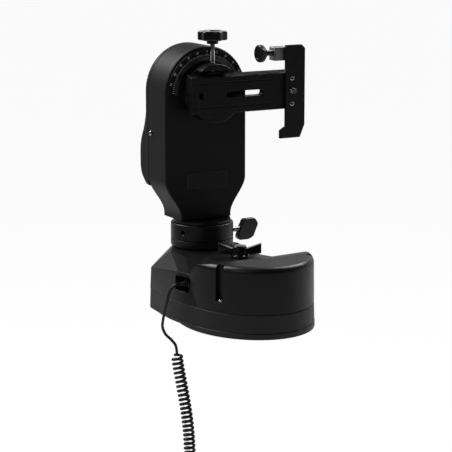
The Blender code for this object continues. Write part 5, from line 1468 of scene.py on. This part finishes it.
thumbLook = {
    "axis": (-56 * mm, 277.5 * mm), "ridges": 40, "deep": 0.35, "plain": 9, "bore": 3.3 * mm,
    # radius and place along the screw
    "disc": ((8.4, 54), (8.8, 54.15), (9.35, 54.6), (9.6, 55.1), (9.6, 58.6), (9.35, 59.2), (8.8, 59.8),
             (8.2, 60), (5.5, 60.5), (4.9, 60.6)),
    "shaft": ((0, 58), (5.5, 58), (5.5, 62.7), (5.2, 63), (3, 63.4), (3, 70.8), (2.7, 71.2), (3, 71.6),
              (3, 83), (2.6, 83.5), (0, 83.5)),
    "dish": ((0, 53.5), (6.6, 53.5), (6, 54.6), (0, 54.6)),
}
cameraScrewLook = {
    "ridges": 30, "deep": 0.3, "plain": 8.5,
    "knob": ((8.1, -68.9), (8.5, -68.75), (8.8, -68.5), (9, -68.1), (9, -64.2), (8.8, -63.8),
             (8.5, -63.55), (8.1, -63.4)),
    "stud": 3.175, "pitch": 1.27,
}


def buildBracket():
    look = plateLook
    middle = armLook["tilt"]
    y = barLook["screwY"]
    plate = eased(slab([(a * mm, b * mm) for a, b in look["outline"]], look["back"], look["front"], "X"),
                  0.5 * mm, 2)
    screwGap = barLook["smallGap"]
    cuts = [rod(barLook["screwHole"], -52 * mm, -44 * mm, "X", (0, y, middle))]
    for side in (-1, 1):
        spot = (0, y, middle + side * screwGap)
        cuts += [rod(barLook["smallHole"], -52 * mm, -44 * mm, "X", spot),
                 rod(3.3 * mm, -48.6 * mm, -44 * mm, "X", spot)]
    addPiece(cut(plate, *cuts), "bracketCasting", finishOf("satinPowderCoat"), "bar", ("bracket_plate",),
             sharp=30)
    for side, name in ((-1, "lower"), (1, "upper")):
        spot = (0, y, middle + side * screwGap)
        profile = [(0, -57.5), (1.5, -56.9), (1.5, -48.3), (3, -48.3), (3, -47), (2.85, -46.65),
                   (2.5, -46.5), (0, -46.5)]
        screw = turned([(radius * mm, x * mm) for radius, x in profile], "X", spot, 40)
        socket = hexSocket(1.5 * mm, -47.8 * mm, -46 * mm, "X", spot)
        addPiece(cut(screw, socket), name + "BracketScrew", finishOf("hardChrome", "X", spot), "bar",
                 ("bracket_screw_" + name,))
    block = eased(box((-63.2 * mm, 72 * mm, 269 * mm), (-50.5 * mm, 88 * mm, 284 * mm)), 0.8 * mm, 3)
    x, z = thumbLook["axis"]
    bore = rod(thumbLook["bore"], 70 * mm, 84 * mm, "Y", (x, 0, z))
    slit = box((-64 * mm, 71 * mm, 276.9 * mm), (-59 * mm, 89 * mm, 278.1 * mm))
    addPiece(cut(block, bore, slit), "clampBlock", finishOf("bareAluminium"), "bar",
             ("bracket_clamp_block",))


def knurledReach(look, radius, angle):
    # straight knurling: fine ridges where the knob is wider than its plain edge
    return radius - look["deep"] * (0.5 + 0.5 * math.cos(angle * look["ridges"])) * (radius > look["plain"])


def buildThumbScrew():
    look = thumbLook
    x, z = look["axis"]
    centre = (x, 0, z)

    def level(radius, y):
        points = []
        for step in range(look["ridges"] * 4):
            angle = math.tau * step / (look["ridges"] * 4)
            reach = knurledReach(look, radius, angle)
            points.append((x + reach * math.sin(angle) * mm, y * mm, z + reach * math.cos(angle) * mm))
        return points

    def profile(name):
        return [(radius * mm, y * mm) for radius, y in look[name]]

    disc = loft([level(radius, y) for radius, y in look["disc"]])
    shaft = turned(profile("shaft"), "Y", centre, 48)
    dish = turned(profile("dish"), "Y", centre, 48)
    addPiece(cut(joined(disc, shaft), dish), "knurledThumbScrew", finishOf("polishedPhenolic"),
             "thumb_screw", ("bracket_thumb_screw",), sharp=30)


def buildCameraScrew():
    look = cameraScrewLook
    y, middle = barLook["screwY"], armLook["tilt"]
    spot = (0, y, middle)

    def level(radius, x):
        points = []
        for step in range(look["ridges"] * 4):
            angle = math.tau * step / (look["ridges"] * 4)
            reach = knurledReach(look, radius, angle)
            points.append((x * mm, y + reach * math.cos(angle) * mm, middle + reach * math.sin(angle) * mm))
        return points

    knob = loft([level(radius, x) for radius, x in look["knob"]])
    full = look["stud"]
    threads = [(0, -64.1), (3.1, -64.1), (full, -63.9), (full, -50)]
    for turn in range(6):
        x = -50 + turn * look["pitch"]
        threads += [(full, x + 0.2), (2.75, x + 0.65), (2.75, x + 0.8), (full, x + 1.2)]
    threads += [(full, -41.6), (2.6, -40.7), (0, -40.7)]
    stud = turned([(radius * mm, x * mm) for radius, x in threads], "X", spot, 48)
    slot = box((-69.5 * mm, y - 7 * mm, middle - 0.8 * mm), (-67.6 * mm, y + 7 * mm, middle + 0.8 * mm))
    addPiece(cut(joined(knob, stud), slot), "cameraScrewBody", finishOf("turnedSteel", "X", spot),
             "camera_screw", ("camera_screw",), sharp=30)


buildDial()
buildSaddle()
buildSaddleClamp()
buildBar()
buildBracket()
buildThumbScrew()
buildCameraScrew()
print("tilting head built")


# Inner pieces keep their CAD shape and get their finish here

carried = {
    "azimuth_ring_gear": "hobbedBrass", "azimuth_gearbox": "hobbedBrass", "tilt_gear": "hobbedBrass",
    "tilt_idler_gear": "hobbedBrass", "tilt_gearbox": "hobbedBrass", "saddle_pressure_pad": "blackAnodised",
    "azimuth_motor": "zincPlate", "azimuth_motor_bracket": "zincPlate", "tilt_motor": "zincPlate",
    "tilt_motor_plate": "zincPlate", "control_board": "solderMask", "hand_control_socket": "mouldedNylon",
    "clutch_washer": "turnedSteel", "clutch_sleeve": "turnedSteel", "azimuth_bearing": "turnedSteel",
    "azimuth_pinion": "turnedSteel", "tilt_pinion": "turnedSteel", "tilt_bearing_front": "turnedSteel",
    "tilt_bearing_rear": "turnedSteel", "tilt_shaft": "turnedSteel",
}

for name, finish in carried.items():
    low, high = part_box(name)
    centre = tuple((a + b) / 2 for a, b in zip(low, high))
    axis = "X" if name.startswith("tilt") else "Z"
    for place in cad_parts[name].material_slots:
        place.material = finishOf(finish, axis, centre)
print("inner pieces finished:", len(carried))

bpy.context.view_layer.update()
